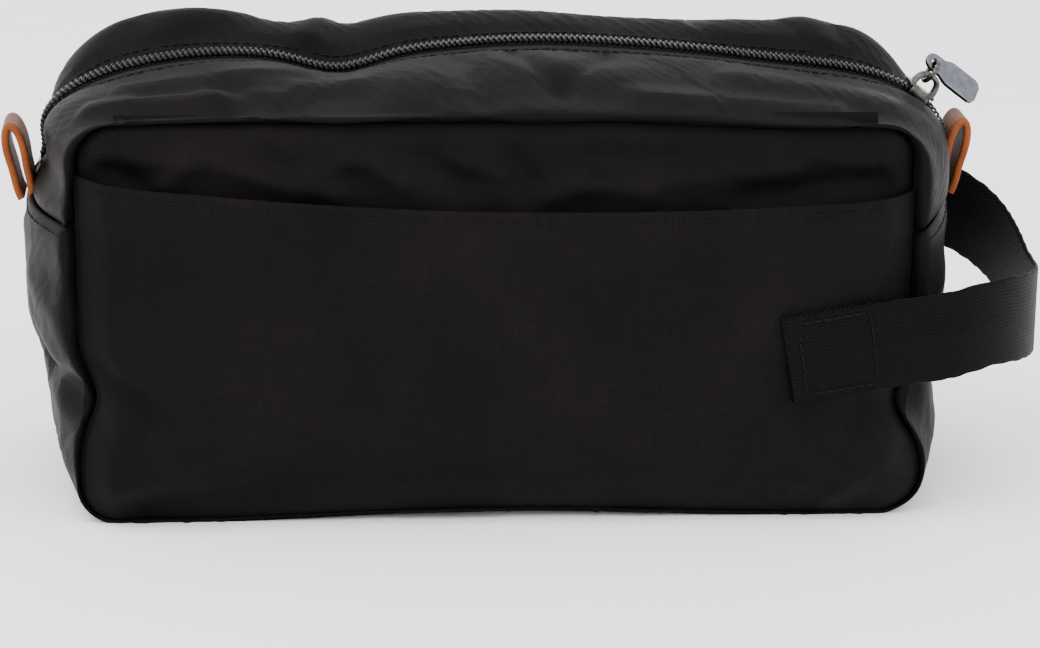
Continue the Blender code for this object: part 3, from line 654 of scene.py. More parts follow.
def twill(name, tones, roughness, sheen, pitch=0.00052):
    """Nylon twill: fine diagonal ribs crossed by the weft, faint slubs and an uneven sheen."""
    made = Nodes(name)
    diagonal = made.place(turn=math.radians(63))
    level = made.place()
    upright = made.place(turn=math.radians(90))
    rib = made.wave(diagonal, bands(pitch))
    weft = made.wave(level, bands(pitch * 0.72))
    clouds = made.noise(made.place("Object"), 24, 4, 0.55)
    slubs = made.noise(made.place(scale=(60, 2600, 1)), 1.0, 2)
    threads = made.noise(made.place(scale=(2600, 60, 1)), 1.0, 2)
    grain = made.maths("ADD", made.maths("MULTIPLY", rib, 0.30), made.maths("MULTIPLY", clouds, 0.45))
    grain = made.maths("ADD", grain, made.maths("MULTIPLY", made.maths("MULTIPLY", slubs, threads), 0.5))
    made.colour(made.ramp(grain, [(0.28, tones[0]), (0.62, tones[1]), (0.95, tones[2])]))
    made.roughness(made.span(clouds, roughness - 0.07, roughness + 0.07))
    fine = made.maths("ADD", made.wave(upright, bands(pitch * 0.72)), weft)
    dimples = made.noise(made.place("Object"), 90, 2)
    made.bump([(dimples, 0.00022), (rib, 0.000055), (fine, 0.000018)])
    made.set(Sheen_Weight=sheen, Sheen_Roughness=0.42, Sheen_Tint=(0.80, 0.78, 0.80, 1))
    made.set(Specular_IOR_Level=0.028)
    return made.material


def lining_cloth():
    """Plain-woven grey lining."""
    made = Nodes("lining_taffeta")
    warp = made.wave(made.place(), bands(0.0006))
    weft = made.wave(made.place(turn=math.radians(90)), bands(0.0006))
    clouds = made.noise(made.place("Object"), 30, 4)
    both = made.maths("MULTIPLY", warp, weft)
    shade = made.maths("ADD", made.maths("MULTIPLY", both, 0.4), made.maths("MULTIPLY", clouds, 0.6))
    made.colour(made.ramp(shade, [(0.2, (0.022, 0.022, 0.026)), (0.8, (0.052, 0.052, 0.060))]))
    made.roughness(made.span(clouds, 0.46, 0.62))
    made.bump([(both, 0.00004)])
    made.set(Sheen_Weight=0.15)
    return made.material


def webbing_cloth():
    """Herringbone webbing: ribs that slope one way on the upper half and the other on the lower."""
    made = Nodes("webbing_herringbone")
    separate = made.tree.nodes.new("ShaderNodeSeparateXYZ")
    made.link(made.coordinates.outputs["UV"], separate.inputs["Vector"])
    along, across = separate.outputs["X"], separate.outputs["Y"]
    half = STRAP_WIDTH / 2
    chevron = made.maths("ABSOLUTE", made.maths("SUBTRACT", across, half), 0)
    slope = made.maths("ADD", made.maths("MULTIPLY", chevron, 1.5), made.maths("MULTIPLY", along, 0.9))
    rib_turns = made.maths("MULTIPLY", slope, 2 * math.pi / 0.00125)
    rib = made.span(made.maths("SINE", rib_turns, 0), 0.0, 1.0)
    cord_turns = made.maths("MULTIPLY", across, 2 * math.pi / 0.00105)
    cord = made.span(made.maths("SINE", cord_turns, 0), 0.0, 1.0)
    fuzz = made.noise(made.place("Object"), 900, 3, 0.6)
    clouds = made.noise(made.place("Object"), 45, 3)
    weave = made.maths("ADD", made.maths("MULTIPLY", rib, 0.55), made.maths("MULTIPLY", cord, 0.30))
    shade = made.maths("ADD", made.maths("MULTIPLY", weave, 0.7), made.maths("MULTIPLY", clouds, 0.3))
    made.colour(made.ramp(shade, WEBBING_TONES))
    made.roughness(made.span(fuzz, 0.42, 0.62))
    made.bump([(weave, 0.00045), (fuzz, 0.00004)])
    made.set(Specular_IOR_Level=0.06)
    return made.material


def thread():
    """Twisted polyester sewing thread."""
    made = Nodes("thread")
    twist = made.wave(made.place("Object", turn=math.radians(35)), bands(0.0004))
    made.colour(made.ramp(twist, [(0.1, (0.0015, 0.0014, 0.0014)), (0.9, (0.0055, 0.0052, 0.0050))]))
    made.bump([(twist, 0.00005)])
    made.set(Roughness=0.60, Specular_IOR_Level=0.08)
    return made.material


def tape_cloth():
    """The zip's woven tape, ribbed along its length."""
    made = Nodes("zip_tape_weave")
    rib = made.wave(made.place(turn=math.radians(90)), bands(0.0008))
    pick = made.wave(made.place(), bands(0.0005))
    both = made.maths("MULTIPLY", rib, pick)
    made.colour(made.ramp(both, [(0.05, (0.0012, 0.0012, 0.0012)), (0.9, (0.0050, 0.0048, 0.0048))]))
    made.roughness(made.span(pick, 0.50, 0.70))
    made.bump([(both, 0.00010)])
    made.set(Specular_IOR_Level=0.15)
    return made.material


def coil_plastic():
    """The glossy dark filament of the zip's coils."""
    made = Nodes("coil_filament")
    clouds = made.noise(made.place("Object"), 260, 3)
    made.colour(made.ramp(clouds, [(0.3, (0.008, 0.0077, 0.0074)), (0.75, (0.026, 0.025, 0.024))]))
    made.roughness(made.span(clouds, 0.32, 0.48))
    made.bump([(clouds, 0.00003)])
    made.set(Specular_IOR_Level=0.26)
    return made.material


def leather_hide(name, dark, mid, light, roughness):
    """Vegetable-tanned leather with a pebbled grain and uneven dye."""
    made = Nodes(name)
    pebbles = made.cells(made.place("Object"), 1500)
    pores = made.cells(made.place("Object"), 3800)
    clouds = made.noise(made.place("Object"), 160, 5, 0.6)
    broad = made.noise(made.place("Object"), 55, 3)
    shade = made.maths("ADD", made.maths("MULTIPLY", clouds, 0.6), made.maths("MULTIPLY", broad, 0.4))
    made.colour(made.ramp(shade, [(0.30, dark), (0.52, mid), (0.78, light)]))
    made.roughness(made.span(clouds, roughness - 0.10, roughness + 0.12))
    made.bump([(broad, 0.00020), (pebbles, 0.00016), (pores, 0.00005)])
    made.set(Specular_IOR_Level=0.16)
    return made.material


def plated_metal(name, tones, low, high, brushed):
    """Plated metal, with wear in its polish."""
    made = Nodes(name)
    clouds = made.noise(made.place("Object"), 420, 4, 0.65)
    stretch = (200, 9000, 9000) if brushed else (1500, 1500, 1500)
    lines = made.noise(made.place("Object", scale=stretch), 1.0, 2)
    made.colour(made.ramp(clouds, [(0.30, tones[0]), (0.70, tones[1])]))
    made.roughness(made.span(made.maths("MULTIPLY", clouds, lines), low, high))
    made.bump([(lines, 0.000012)])
    made.set(Metallic=1.0)
    return made.material


NYLON_TONES = ((0.0026, 0.0021, 0.0020), (0.0058, 0.0048, 0.0046), (0.0115, 0.0096, 0.0092))
HIDE_TONES = ((0.060, 0.017, 0.006), (0.105, 0.031, 0.011), (0.145, 0.050, 0.019))
HIDE_EDGE_TONES = ((0.12, 0.028, 0.006), (0.19, 0.047, 0.010), (0.25, 0.070, 0.016))
WEBBING_TONES = [
    (0.20, (0.0004, 0.0004, 0.0006)),
    (0.50, (0.0016, 0.0016, 0.0024)),
    (0.80, (0.0080, 0.0080, 0.0110)),
]
NYLON = twill("nylon_twill", NYLON_TONES, 0.40, 0.006)
LINING = lining_cloth()
WEB = webbing_cloth()
THREAD = thread()
TAPE_WEAVE = tape_cloth()
COIL = coil_plastic()
HIDE = leather_hide("leather_grain", *HIDE_TONES, 0.48)
HIDE_EDGE = leather_hide("leather_edge", *HIDE_EDGE_TONES, 0.62)
GUNMETAL = plated_metal("gunmetal", ((0.040, 0.038, 0.037), (0.100, 0.095, 0.090)), 0.18, 0.50, False)
SATIN_STEEL = plated_metal("satin_steel", ((0.085, 0.090, 0.105), (0.150, 0.157, 0.182)), 0.12, 0.42, True)


# ---------------------------------------------------------------- meshes


def add_mesh(name, mesh, materials):
    """Put a mesh in the scene with its materials."""
    for one in materials:
        mesh.materials.append(one)
    made = bpy.data.objects.new(name, mesh)
    bpy.context.scene.collection.objects.link(made)
    return made


def mesh_from(name, points, faces, uvs=None, materials_of=None):
    """A smooth mesh from points and faces, with a place on the cloth for each point."""
    mesh = bpy.data.meshes.new(name)
    mesh.from_pydata(np.asarray(points, float).tolist(), [], [tuple(f) for f in faces])
    if uvs is not None:
        layer = mesh.uv_layers.new(name="cloth")
        at = np.empty(len(mesh.loops), int)
        mesh.loops.foreach_get("vertex_index", at)
        layer.data.foreach_set("uv", np.asarray(uvs, np.float32)[at].ravel())
    if materials_of is not None:
        mesh.polygons.foreach_set("material_index", materials_of)
    mesh.shade_smooth()
    mesh.update()
    return mesh


def grid_faces(rows, columns, closed=False):
    """Quads of a grid of points; closed joins the last column to the first."""
    i, j = np.meshgrid(np.arange(rows - 1), np.arange(columns if closed else columns - 1), indexing="ij")
    i, j = i.ravel(), j.ravel()
    k = (j + 1) % columns
    return np.stack([i * columns + j, i * columns + k, (i + 1) * columns + k, (i + 1) * columns + j], axis=1)


def thicken(piece, thickness):
    """Give a sheet its thickness on the inner side, as part of its mesh."""
    solid = piece.modifiers.new("thickness", "SOLIDIFY")
    solid.thickness = thickness
    solid.offset = -1
    apply_modifiers(piece)


def apply_modifiers(piece):
    """Make what the modifiers do part of the mesh."""
    bpy.context.view_layer.update()
    made = bpy.data.meshes.new_from_object(piece.evaluated_get(bpy.context.evaluated_depsgraph_get()))
    piece.modifiers.clear()
    old = piece.data
    piece.data = made
    bpy.data.meshes.remove(old)


def settle_as_cloth(piece, held):
    """Let a slightly slack sheet settle as cloth; held is how firmly each point keeps its place."""
    group = piece.vertex_groups.new(name="held")
    for index, share in enumerate(held):
        group.add([index], float(share), "REPLACE")
    cloth = piece.modifiers.new("cloth", "CLOTH")
    cloth.settings.vertex_group_mass = group.name
    cloth.settings.pin_stiffness = CLOTH_HOLD
    cloth.settings.mass = 0.02
    cloth.settings.quality = 5
    cloth.settings.tension_stiffness = 12
    cloth.settings.compression_stiffness = 12
    cloth.settings.shear_stiffness = 4
    cloth.settings.bending_stiffness = 0.10
    cloth.settings.shrink_min = -CLOTH_SLACK
    cloth.point_cache.frame_start = 1
    cloth.point_cache.frame_end = CLOTH_FRAMES
    scene = bpy.context.scene
    for frame_number in range(1, CLOTH_FRAMES + 1):
        scene.frame_set(frame_number)
    apply_modifiers(piece)
    piece.vertex_groups.clear()
    scene.frame_set(1)


def held_edges(rows, columns, edge=4):
    """How firmly each point of a grid is held: fully at its edges and a little inside them."""
    i, j = np.meshgrid(np.arange(rows), np.arange(columns), indexing="ij")
    inward = np.minimum(np.minimum(i, rows - 1 - i), np.minimum(j, columns - 1 - j))
    return mix(1.0, INSIDE_HOLD, smooth((inward - 1) / edge)).ravel()


def sheet(name, points, material, thickness=CLOTH, slack=False):
    """A sheet of cloth over a grid of points; a slack one settles as cloth between its edges."""
    rows, columns = points.shape[:2]
    uvs = grid_uvs(points).reshape(-1, 2)
    mesh = mesh_from(name, points.reshape(-1, 3), grid_faces(rows, columns), uvs)
    made = add_mesh(name, mesh, [material])
    if slack:
        settle_as_cloth(made, held_edges(rows, columns))
    thicken(made, thickness)
    return made


def tubes(name, lines, radius, material, sides=6, ends=1.0):
    """Round rods along lines of points, in one mesh. ends is the radius there, as a share."""
    points, faces = [], []
    for line in lines:
        line = np.asarray(line, float)
        way = np.gradient(line, axis=0)
        way /= np.maximum(np.linalg.norm(way, axis=1, keepdims=True), 1e-12)
        guide = np.where(np.abs(way[:, 1:2]) < 0.9, [[0.0, 1.0, 0.0]], [[0.0, 0.0, 1.0]])
        side = np.cross(way, guide)
        side /= np.linalg.norm(side, axis=1, keepdims=True)
        up = np.cross(side, way)
        wide = np.full(len(line), radius)
        wide[[0, -1]] *= ends
        angle = 2 * math.pi * np.arange(sides) / sides
        ring = side[:, None] * np.cos(angle)[None, :, None] + up[:, None] * np.sin(angle)[None, :, None]
        start = len(points)
        points.extend((line[:, None] + ring * wide[:, None, None]).reshape(-1, 3))
        faces.extend((grid_faces(len(line), sides, closed=True) + start).tolist())
        last = start + (len(line) - 1) * sides
        faces.append([start + k for k in range(sides)])
        faces.append([last + k for k in reversed(range(sides))])
    return add_mesh(name, mesh_from(name, points, faces), [material])


def stitches(name, line, outward, pitch=0.0029, length=0.0022, radius=0.00019, rise=0.00014):
    """A row of stitches along a line: each rises out of the cloth, lies on it and dives back in."""
    line, outward = np.asarray(line, float), np.asarray(outward, float)
    runs = np.linalg.norm(np.diff(line, axis=0), axis=1)
    lengths = np.concatenate([[0], np.cumsum(runs)])
    shape = ((0.0, -1.6), (0.10, 0.0), (0.35, 0.9), (0.65, 0.9), (0.90, 0.0), (1.0, -1.6))
    rods = []
    for start in np.arange(pitch / 2, lengths[-1] - pitch, pitch):
        rod = []
        for share, height in shape:
            want = start + share * length
            place = np.array([np.interp(want, lengths, line[:, k]) for k in range(3)])
            out = np.array([np.interp(want, lengths, outward[:, k]) for k in range(3)])
            rod.append(place + out / np.linalg.norm(out) * height * rise)
        rods.append(rod)
    return tubes(name, rods, radius, THREAD, sides=6, ends=0.6)


def part_of(piece, name, keep):
    """The part of a piece whose face centres pass a test, with the whole piece's shading."""
    mesh = piece.data
    count = len(mesh.vertices)
    points = np.empty(count * 3)
    mesh.vertices.foreach_get("co", points)
    points = points.reshape(-1, 3)
    normals = np.empty(count * 3)
    mesh.vertex_normals.foreach_get("vector", normals)
    normals = normals.reshape(-1, 3)
    faces = [tuple(p.vertices) for p in mesh.polygons if keep(p.center)]
    used = sorted({k for face in faces for k in face})
    place = {old: new for new, old in enumerate(used)}
    made = bpy.data.meshes.new(name)
    made.from_pydata(points[used].tolist(), [], [tuple(place[k] for k in face) for face in faces])
    if mesh.uv_layers:
        source = mesh.uv_layers[0].data
        layer = made.uv_layers.new(name="cloth")
        kept = [p for p in mesh.polygons if keep(p.center)]
        for face, polygon in zip(made.polygons, kept):
            for new, old in zip(face.loop_indices, polygon.loop_indices):
                layer.data[new].uv = source[old].uv
    made.shade_smooth()
    made.normals_split_custom_set_from_vertices(normals[used].tolist())
    return add_mesh(name, made, list(mesh.materials))


def ride_on(piece, body, replaced=()):
    """Ride a piece on a body and the nodes that it stands for."""
    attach(piece, body)
    if replaced:
        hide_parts(*replaced)
    return piece


def blend_lip(piece, replaced=None):
    """Cut a strip along the mouth in two at LIP_SPLIT and hide the frame's parts that stand for its halves.
    """
    halves = (
        ("left", LIP_LEFT, lambda centre: centre.x < LIP_SPLIT),
        ("right", LIP_RIGHT, lambda centre: centre.x >= LIP_SPLIT),
    )
    for end, (still, moving), keep in halves:
        half = part_of(piece, f"{piece.name}_{end}", keep)
        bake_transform(half)
        if replaced:
            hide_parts(f"{replaced}_{end}", f"{replaced}_lip")
    mesh = piece.data
    bpy.data.objects.remove(piece)
    bpy.data.meshes.remove(mesh)


# ---------------------------------------------------------------- panels, pocket and lining


def corner_rows():
    """Heights up a panel, closer together where its corners turn."""
    turn = PANEL_CORNER * (1 - np.cos(np.linspace(0, math.pi / 2, 8)))
    heights = [turn[:-1], steps(PANEL_CORNER, PANEL_HEIGHT - PANEL_CORNER, CLOTH_STEP)]
    heights.append(PANEL_HEIGHT - turn[::-1][1:])
    return np.concatenate(heights)


def edge_spread(count):
    """Values from -1 to 1, closer together at both ends."""
    even = np.linspace(-1, 1, count)
    return even + 0.14 * np.sin(even * math.pi) / math.pi


def panel_grid(face, side, heights, across):
    """A panel's points. side is -1 on the front, where its rows run from right to left."""
    share, z = np.meshgrid(across * side, heights, indexing="ij")
    x = share * panel_half_width(z)
    y = face(x, z)
    x, lifted = sagged(x, z)
    lifted = np.maximum(lifted, CLOTH)
    return np.stack([x, y, settled(x, y, lifted) if side < 0 else lifted], axis=-1)


def build_panels():
    """The front panel above and behind the pocket, and the back panel."""
    across = edge_spread(int(2 * HALF_WIDTH / CLOTH_STEP))
    points = panel_grid(front_face, -1, corner_rows(), across)
    points[..., 1] += 0.00025 * ripple(points, 0.030, 3)
    ride_on(sheet("front_panel_fabric", points, NYLON, slack=True), "bag", ["front_panel"])
    points = panel_grid(back_face, 1, corner_rows(), across)
    points[..., 1] += 0.0005 * ripple(points, 0.045, 5)
    ride_on(sheet("back_panel_fabric", points, NYLON, slack=True), "bag", ["back_panel"])


def build_pocket():
    """The slack front layer with its folded hem, and the hem's stitches."""
    across = -edge_spread(int(2 * HALF_WIDTH / CLOTH_STEP))
    turn = PANEL_CORNER * (1 - np.cos(np.linspace(0, math.pi / 2, 8))) / 0.095
    shares = np.concatenate([turn[:-1], steps(turn[-1], 1.0, CLOTH_STEP / 0.095)])
    side, share = np.meshgrid(across, shares, indexing="ij")
    z = share * pocket_height(side * HALF_WIDTH)
    x = side * panel_half_width(z)
    y = pocket_face(x, z)
    x, z = sagged(x, z)
    points = np.stack([x, y, np.maximum(z, CLOTH)], axis=-1)
    points[..., 1] += 0.00035 * ripple(points, 0.040, 8) * smooth(share / 0.2)
    hem = []
    for down, behind in ((-0.0003, 0.0004), (-0.0002, 0.0010), (0.0006, 0.0013), (POCKET_HEM, 0.0013)):
        row = points[:, -1].copy()
        row[:, 2] -= down
        row[:, 1] += behind
        hem.append(row)
    whole = np.concatenate([points, np.stack(hem, axis=1)], axis=1)
    ride_on(sheet("pocket_fabric", whole, NYLON, slack=True), "bag", ["pocket_panel"])
    line = []
    for row in points[2:-2]:
        top = row[-1]
        line.append([top[0], np.interp(top[2] - 0.0024, row[:, 2], row[:, 1]) - 0.0001, top[2] - 0.0024])
    outward = np.tile([0.0, -1.0, 0.0], (len(line), 1))
    ride_on(stitches("pocket_hem_stitches", line, outward), "bag")


def build_panel_linings():
    """The lining behind each panel, slightly slack."""
    inset = 0.93
    for name, node, depth, side in (("front", "front_lining", 1, -1), ("back", "back_lining", -1, 1)):
        low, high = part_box(node)
        middle = (low.y + high.y) / 2
        across = np.linspace(-side, side, 60)
        share, z = np.meshgrid(across, np.linspace(low.z, high.z, 34), indexing="ij")
        x = share * panel_half_width(np.clip(z, 0, PANEL_HEIGHT)) * inset
        y = middle + depth * 0.0016 + 0.0007 * ripple(np.stack([x, x * 0, z], axis=-1), 0.045, 12)
        points = np.stack([x, y, z], axis=-1)
        ride_on(sheet(f"{name}_lining_fabric", points, LINING, 0.0004), "bag", [node])


# ---------------------------------------------------------------- gussets


def seam_rolls(t_length, ts):
    """How far the cloth sinks at the side seams, at the first and last rows of a grid."""
    from_end = np.minimum(ts, 1 - ts)[:, None] * t_length
    return SIDE_SEAM_SINK * np.exp(-from_end / SIDE_SEAM_SINK)


def end_dense(length, size):
    """Shares from 0 to 1 about a size apart, with more rows at both ends."""
    fine = np.array([0.0, 0.0005, 0.0011, 0.0018]) / length
    middle = steps(0.0028 / length, 1 - 0.0028 / length, size / length)
    return np.concatenate([fine, middle, 1 - fine[::-1]])


def top_strip(vs):
    """A strip of the top with its folds and rolled ends, and which way is out of it."""
    ts = end_dense(TOP_LENGTH, CLOTH_STEP)
    t, v = np.meshgrid(ts, vs, indexing="ij")
    points = top_surface(t, v)
    normal = grid_normals(points) * np.sign(vs[-1] - vs[0])
    flat = smooth((points[..., 2] - SIDE_SEAM_Z) / 0.020)
    inner = smooth((np.abs(np.abs(v - 0.5) * SEAM_DEPTH) - 0.0060) / 0.006)
    height = folds(points[..., 0], points[..., 1], TOP_FOLDS) * flat * inner
    height = height + 0.0005 * ripple(points, 0.034, 21) * inner - seam_rolls(TOP_LENGTH, ts)
    height = height - HEM_SINK * smooth((0.0125 - np.abs(v - 0.5) * SEAM_DEPTH) / 0.006)
    return points + normal * height[..., None], normal


# How a folded edge turns under: how far past the edge, and how far below the outer surface
HEM_TURN = ((0.0003, 0.0001), (0.0004, 0.0005), (0.0002, 0.0009), (-0.0010, 0.0010), (-0.0040, 0.0010))


def with_hem(points, normal):
    """Turn the last column of a strip under, as the folded edge beside the zip."""
    edge = points[:, -1]
    out = normal[:, -1]
    across = edge - points[:, -2]
    across /= np.linalg.norm(across, axis=1, keepdims=True)
    hem = []
    for on, under in HEM_TURN:
        hem.append(edge + across * on - out * under)
    return np.concatenate([points, np.stack(hem, axis=1)], axis=1)


def build_top():
    """The cloth in front of the zip and behind it, with a row of stitches along each folded edge."""
    run = steps(FINE_END / SEAM_DEPTH, share_of_depth(-HEM_HALF), CLOTH_STEP / SEAM_DEPTH)
    front = np.concatenate([FINE_ROWS / SEAM_DEPTH, run])
    for name, vs in (("front", front), ("back", 1 - front)):
        points, normal = top_strip(vs)
        whole = with_hem(points, normal)
        hem_line = points[:, -2][3:-3]
        outward = normal[:, -2][3:-3]
        made = sheet(f"top_{name}_fabric", whole if name == "front" else whole[::-1], NYLON, slack=True)
        seam = stitches(f"top_{name}_hem_stitches", hem_line + outward * 0.0001, outward)
        if name == "front":
            blend_lip(made, "front_gusset")
            blend_lip(seam)
        else:
            ride_on(made, "bag", ["back_gusset"])
            ride_on(seam, "bag")


def build_seam_allowance():
    """The cloth's raw edge standing up inside the front seam, which closes it when the lip folds."""
    xs = np.linspace(1, -1, 100) * (HALF_WIDTH - PANEL_CORNER)
    rows = []
    for inward, rise in ((0.0002, -0.0022), (0.0005, -0.0008), (0.0010, 0.0008), (0.0014, 0.0022)):
        y = FRONT_Y + SEAM_SINK + inward
        rows.append([(x, y, PANEL_HEIGHT - SEAM_SLUMP + rise) for x in xs])
    points = np.array(rows).transpose(1, 0, 2)
    ride_on(sheet("front_seam_allowance", points, NYLON), "bag")


def build_sides_and_base():
    """The strip down both sides and under the base, sewn over its top edges."""
    ts = end_dense(FRONT_LOW.length, CLOTH_STEP)
    fine = FINE_ROWS / SEAM_DEPTH
    middle = steps(FINE_END / SEAM_DEPTH, 1 - FINE_END / SEAM_DEPTH, CLOTH_STEP * 1.2 / SEAM_DEPTH)
    vs = np.concatenate([fine, middle, 1 - fine[::-1]])
    t, v = np.meshgrid(ts, vs, indexing="ij")
    points = low_surface(t, v)
    normal = grid_normals(points)
    upright = smooth((np.abs(points[..., 0]) - 0.105) / 0.012)
    clear_of_edge = smooth((SIDE_SEAM_Z - points[..., 2]) / 0.006)
    height = folds(points[..., 1], points[..., 2], SIDE_FOLDS) * upright * clear_of_edge
    wavy = 0.0005 * ripple(points, 0.040, 31) * smooth(points[..., 2] / 0.012)
    height = height + wavy + 0.0008 * smooth((points[..., 2] - 0.070) / 0.012) * upright
    height = height - seam_rolls(FRONT_LOW.length, ts)
    points = points + normal * height[..., None]
    points[..., 2] = np.maximum(points[..., 2], 0.0002)
    ride_on(sheet("side_and_base_fabric", points, NYLON, slack=True), "bag", ["lower_gusset"])
    below_edge = 0.0030 / FRONT_LOW.length
    for name, share in (("left", below_edge), ("right", 1 - below_edge)):
        row = int(np.argmin(np.abs(ts - share)))
        line, outward = points[row][3:-3], normal[row][3:-3]
        ride_on(stitches(f"side_seam_stitches_{name}", line + outward * 0.0001, outward), "bag")


def inner_sheet(name, surface, t_range, v_range, seed, clear):
    """A slack lining sheet under an outer surface, clear of the deepest fold in it."""
    ts = np.linspace(*t_range, 110)
    vs = np.linspace(*v_range, 22)
    t, v = np.meshgrid(ts, vs, indexing="ij")
    points = surface(t, v)
    normal = grid_normals(points)
    depth = LINING_DEPTH + clear + 0.0005 * ripple(points, 0.05, seed)
    return sheet(name, points - normal * depth[..., None], LINING, 0.0004)


def build_gusset_linings():
    """The lining under the top, the sides and the base."""
    edge = share_of_depth(-HEM_HALF - GAP)
    made = inner_sheet("top_front_lining_fabric", top_surface, (0.003, 0.997), (0.05, edge), 41, 0.0014)
    blend_lip(made, "front_top_lining")
    made = inner_sheet("top_back_lining_fabric", top_surface, (0.003, 0.997), (1 - edge, 0.95), 42, 0.0014)
    ride_on(made, "bag", ["back_top_lining"])
    made = inner_sheet("side_and_base_lining_fabric", low_surface, (0.003, 0.997), (0.07, 0.93), 43, 0.0042)
    ride_on(made, "bag", ["lower_lining"])


def build_bindings():
    """The binding tape folded over the raw edges inside, along each seam."""
    inset = 0.0065
    wide, high = HALF_WIDTH - inset, PANEL_HEIGHT - inset
    corners = [(0, high), (-wide, high), (-wide, inset), (wide, inset), (wide, high), (0, high)]
    line = rounded(corners, (PANEL_CORNER,) * 4, 6)
    for node in ("front_binding", "back_binding"):
        low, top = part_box(node)
        points = [(x, (low.y + top.y) / 2, z) for x, z in line]
        ride_on(tubes(f"{node}_tape", [points], 0.0011, LINING, sides=10), "bag", [node])


# ---------------------------------------------------------------- zip


def zip_tape(side):
    """One tape, from beside the chain to under the cloth's folded edge."""
    ts = end_dense(TOP_LENGTH, CLOTH_STEP)
    inner = chain_gap(ts) + 0.0004
    share = np.linspace(0, 1, 7)[None, :]
    y = mix(inner[:, None], TAPE_REACH, share) * side
    t = np.repeat(ts[:, None], share.shape[1], axis=1)
    points = top_surface(t, share_of_depth(y))
    normal = grid_normals(points) * side
    raised = COIL_LIFT * (1 - smooth((share - 0.35) / 0.35))
    points = points - normal * (TAPE_DEPTH - raised)[..., None]
    return sheet("zip_tape", points[:, ::-1] if side < 0 else points, TAPE_WEAVE, TAPE)


def chain_places(ts, y, depth):
    """Places beside the chain's middle line, a depth under the outer surface."""
    step = 0.002
    v = share_of_depth(y)
    place = top_surface(ts, v)
    along = top_surface(np.clip(ts - step, 0, 1), v) - top_surface(np.clip(ts + step, 0, 1), v)
    along[:, 1] = 0
    along /= np.linalg.norm(along, axis=1, keepdims=True)
    outward = np.stack([-along[:, 2], np.zeros(len(ts)), along[:, 0]], axis=1)
    return place - outward * np.reshape(depth, (-1, 1)), outward


def zip_coil(name, side):
    """One coil: a filament wound along the tape's edge, half a turn out of step with the other."""
    start, end = CHAIN_ENDS
    length = (end - start) * TOP_LENGTH
    turns = int(length / COIL_PITCH)
    ts = np.linspace(start, end, turns * 10)
    phase = 2 * math.pi * np.linspace(0, turns, len(ts)) + (0 if side < 0 else math.pi)
    closed = 1 - (chain_gap(ts) - CLOSED_GAP) / (OPEN_GAP - CLOSED_GAP)
    inner = chain_gap(ts) - INTERLOCK * closed
    outer = chain_gap(ts) + COIL_WIDTH
    squared = np.sign(np.cos(phase)) * np.abs(np.cos(phase)) ** 0.75
    y = side * mix(inner, outer, (squared + 1) / 2)
    lowest = TAPE_DEPTH - GAP - COIL_WIRE - COIL_LIFT
    depth = lowest - (COIL_HEIGHT - 2 * COIL_WIRE) * (np.sin(phase) + 1) / 2
    line, _ = chain_places(ts, y, depth)
    return tubes(name, [line], COIL_WIRE, COIL, sides=6)


def coil_stitches(name, side):
    """The chain of thread that sews a coil to its tape, beside the coil."""
    ts = np.linspace(CHAIN_ENDS[0], CHAIN_ENDS[1], 400)
    line, outward = chain_places(ts, side * (chain_gap(ts) + COIL_WIDTH + 0.0006), TAPE_DEPTH - COIL_LIFT)
    return stitches(name, line, outward, pitch=0.0016, length=0.00125, radius=0.00026, rise=0.0003)


def build_zip():
    """Tapes, coils and the thread along them, the front ones cut in two along the mouth."""
    for name, side in (("front", -1), ("back", 1)):
        tape = zip_tape(side)
        tape.name = f"zip_tape_{name}_weave"
        coil = zip_coil(f"zip_coil_{name}_filament", side)
        seam = coil_stitches(f"zip_coil_{name}_stitches", side)
        if name == "front":
            blend_lip(tape, "zip_tape_front")
            blend_lip(coil, "zip_coil_front")
            blend_lip(seam)
        else:
            ride_on(tape, "bag", ["zip_tape_back"])
            ride_on(coil, "bag", ["zip_coil_back"])
            ride_on(seam, "bag")


def rounded_block(name, low, high, edge, matrix, material):
    """A block with rounded edges."""
    bm = bmesh.new()
    bmesh.ops.create_cube(bm, size=1)
    size = Vector(high) - Vector(low)
    middle = (Vector(high) + Vector(low)) / 2
    bm.transform(Matrix.Translation(middle) @ Matrix.Diagonal((*size, 1)))
    bmesh.ops.bevel(bm, geom=bm.edges[:], offset=edge, segments=3, affect="EDGES", profile=0.5)
    mesh = bpy.data.meshes.new(name)
    bm.to_mesh(mesh)
    bm.free()
    mesh.transform(matrix)
    mesh.shade_smooth()
    return add_mesh(name, mesh, [material])


def build_stops():
    """The crimped metal stops at both ends of the chain."""
    depth = GAP - TAPE_DEPTH
    open_end, closed_end = STOP_SHARES
    places = (
        ("zip_stop_left", closed_end, -0.0028, 0.0028),
        ("zip_stop_front", open_end, -OPEN_GAP - STOP_WIDTH, -OPEN_GAP),
        ("zip_stop_back", open_end, OPEN_GAP, OPEN_GAP + STOP_WIDTH),
    )
    for node, t, near, far in places:
        low = (-STOP_HALF_LENGTH, near, depth + 0.0001)
        high = (STOP_HALF_LENGTH, far, depth + STOP_HEIGHT)
        made = rounded_block(f"{node}_crimp", low, high, 0.00035, chain_frame(t), GUNMETAL)
        ride_on(made, "bag", [node])


# ---------------------------------------------------------------- slider and pull


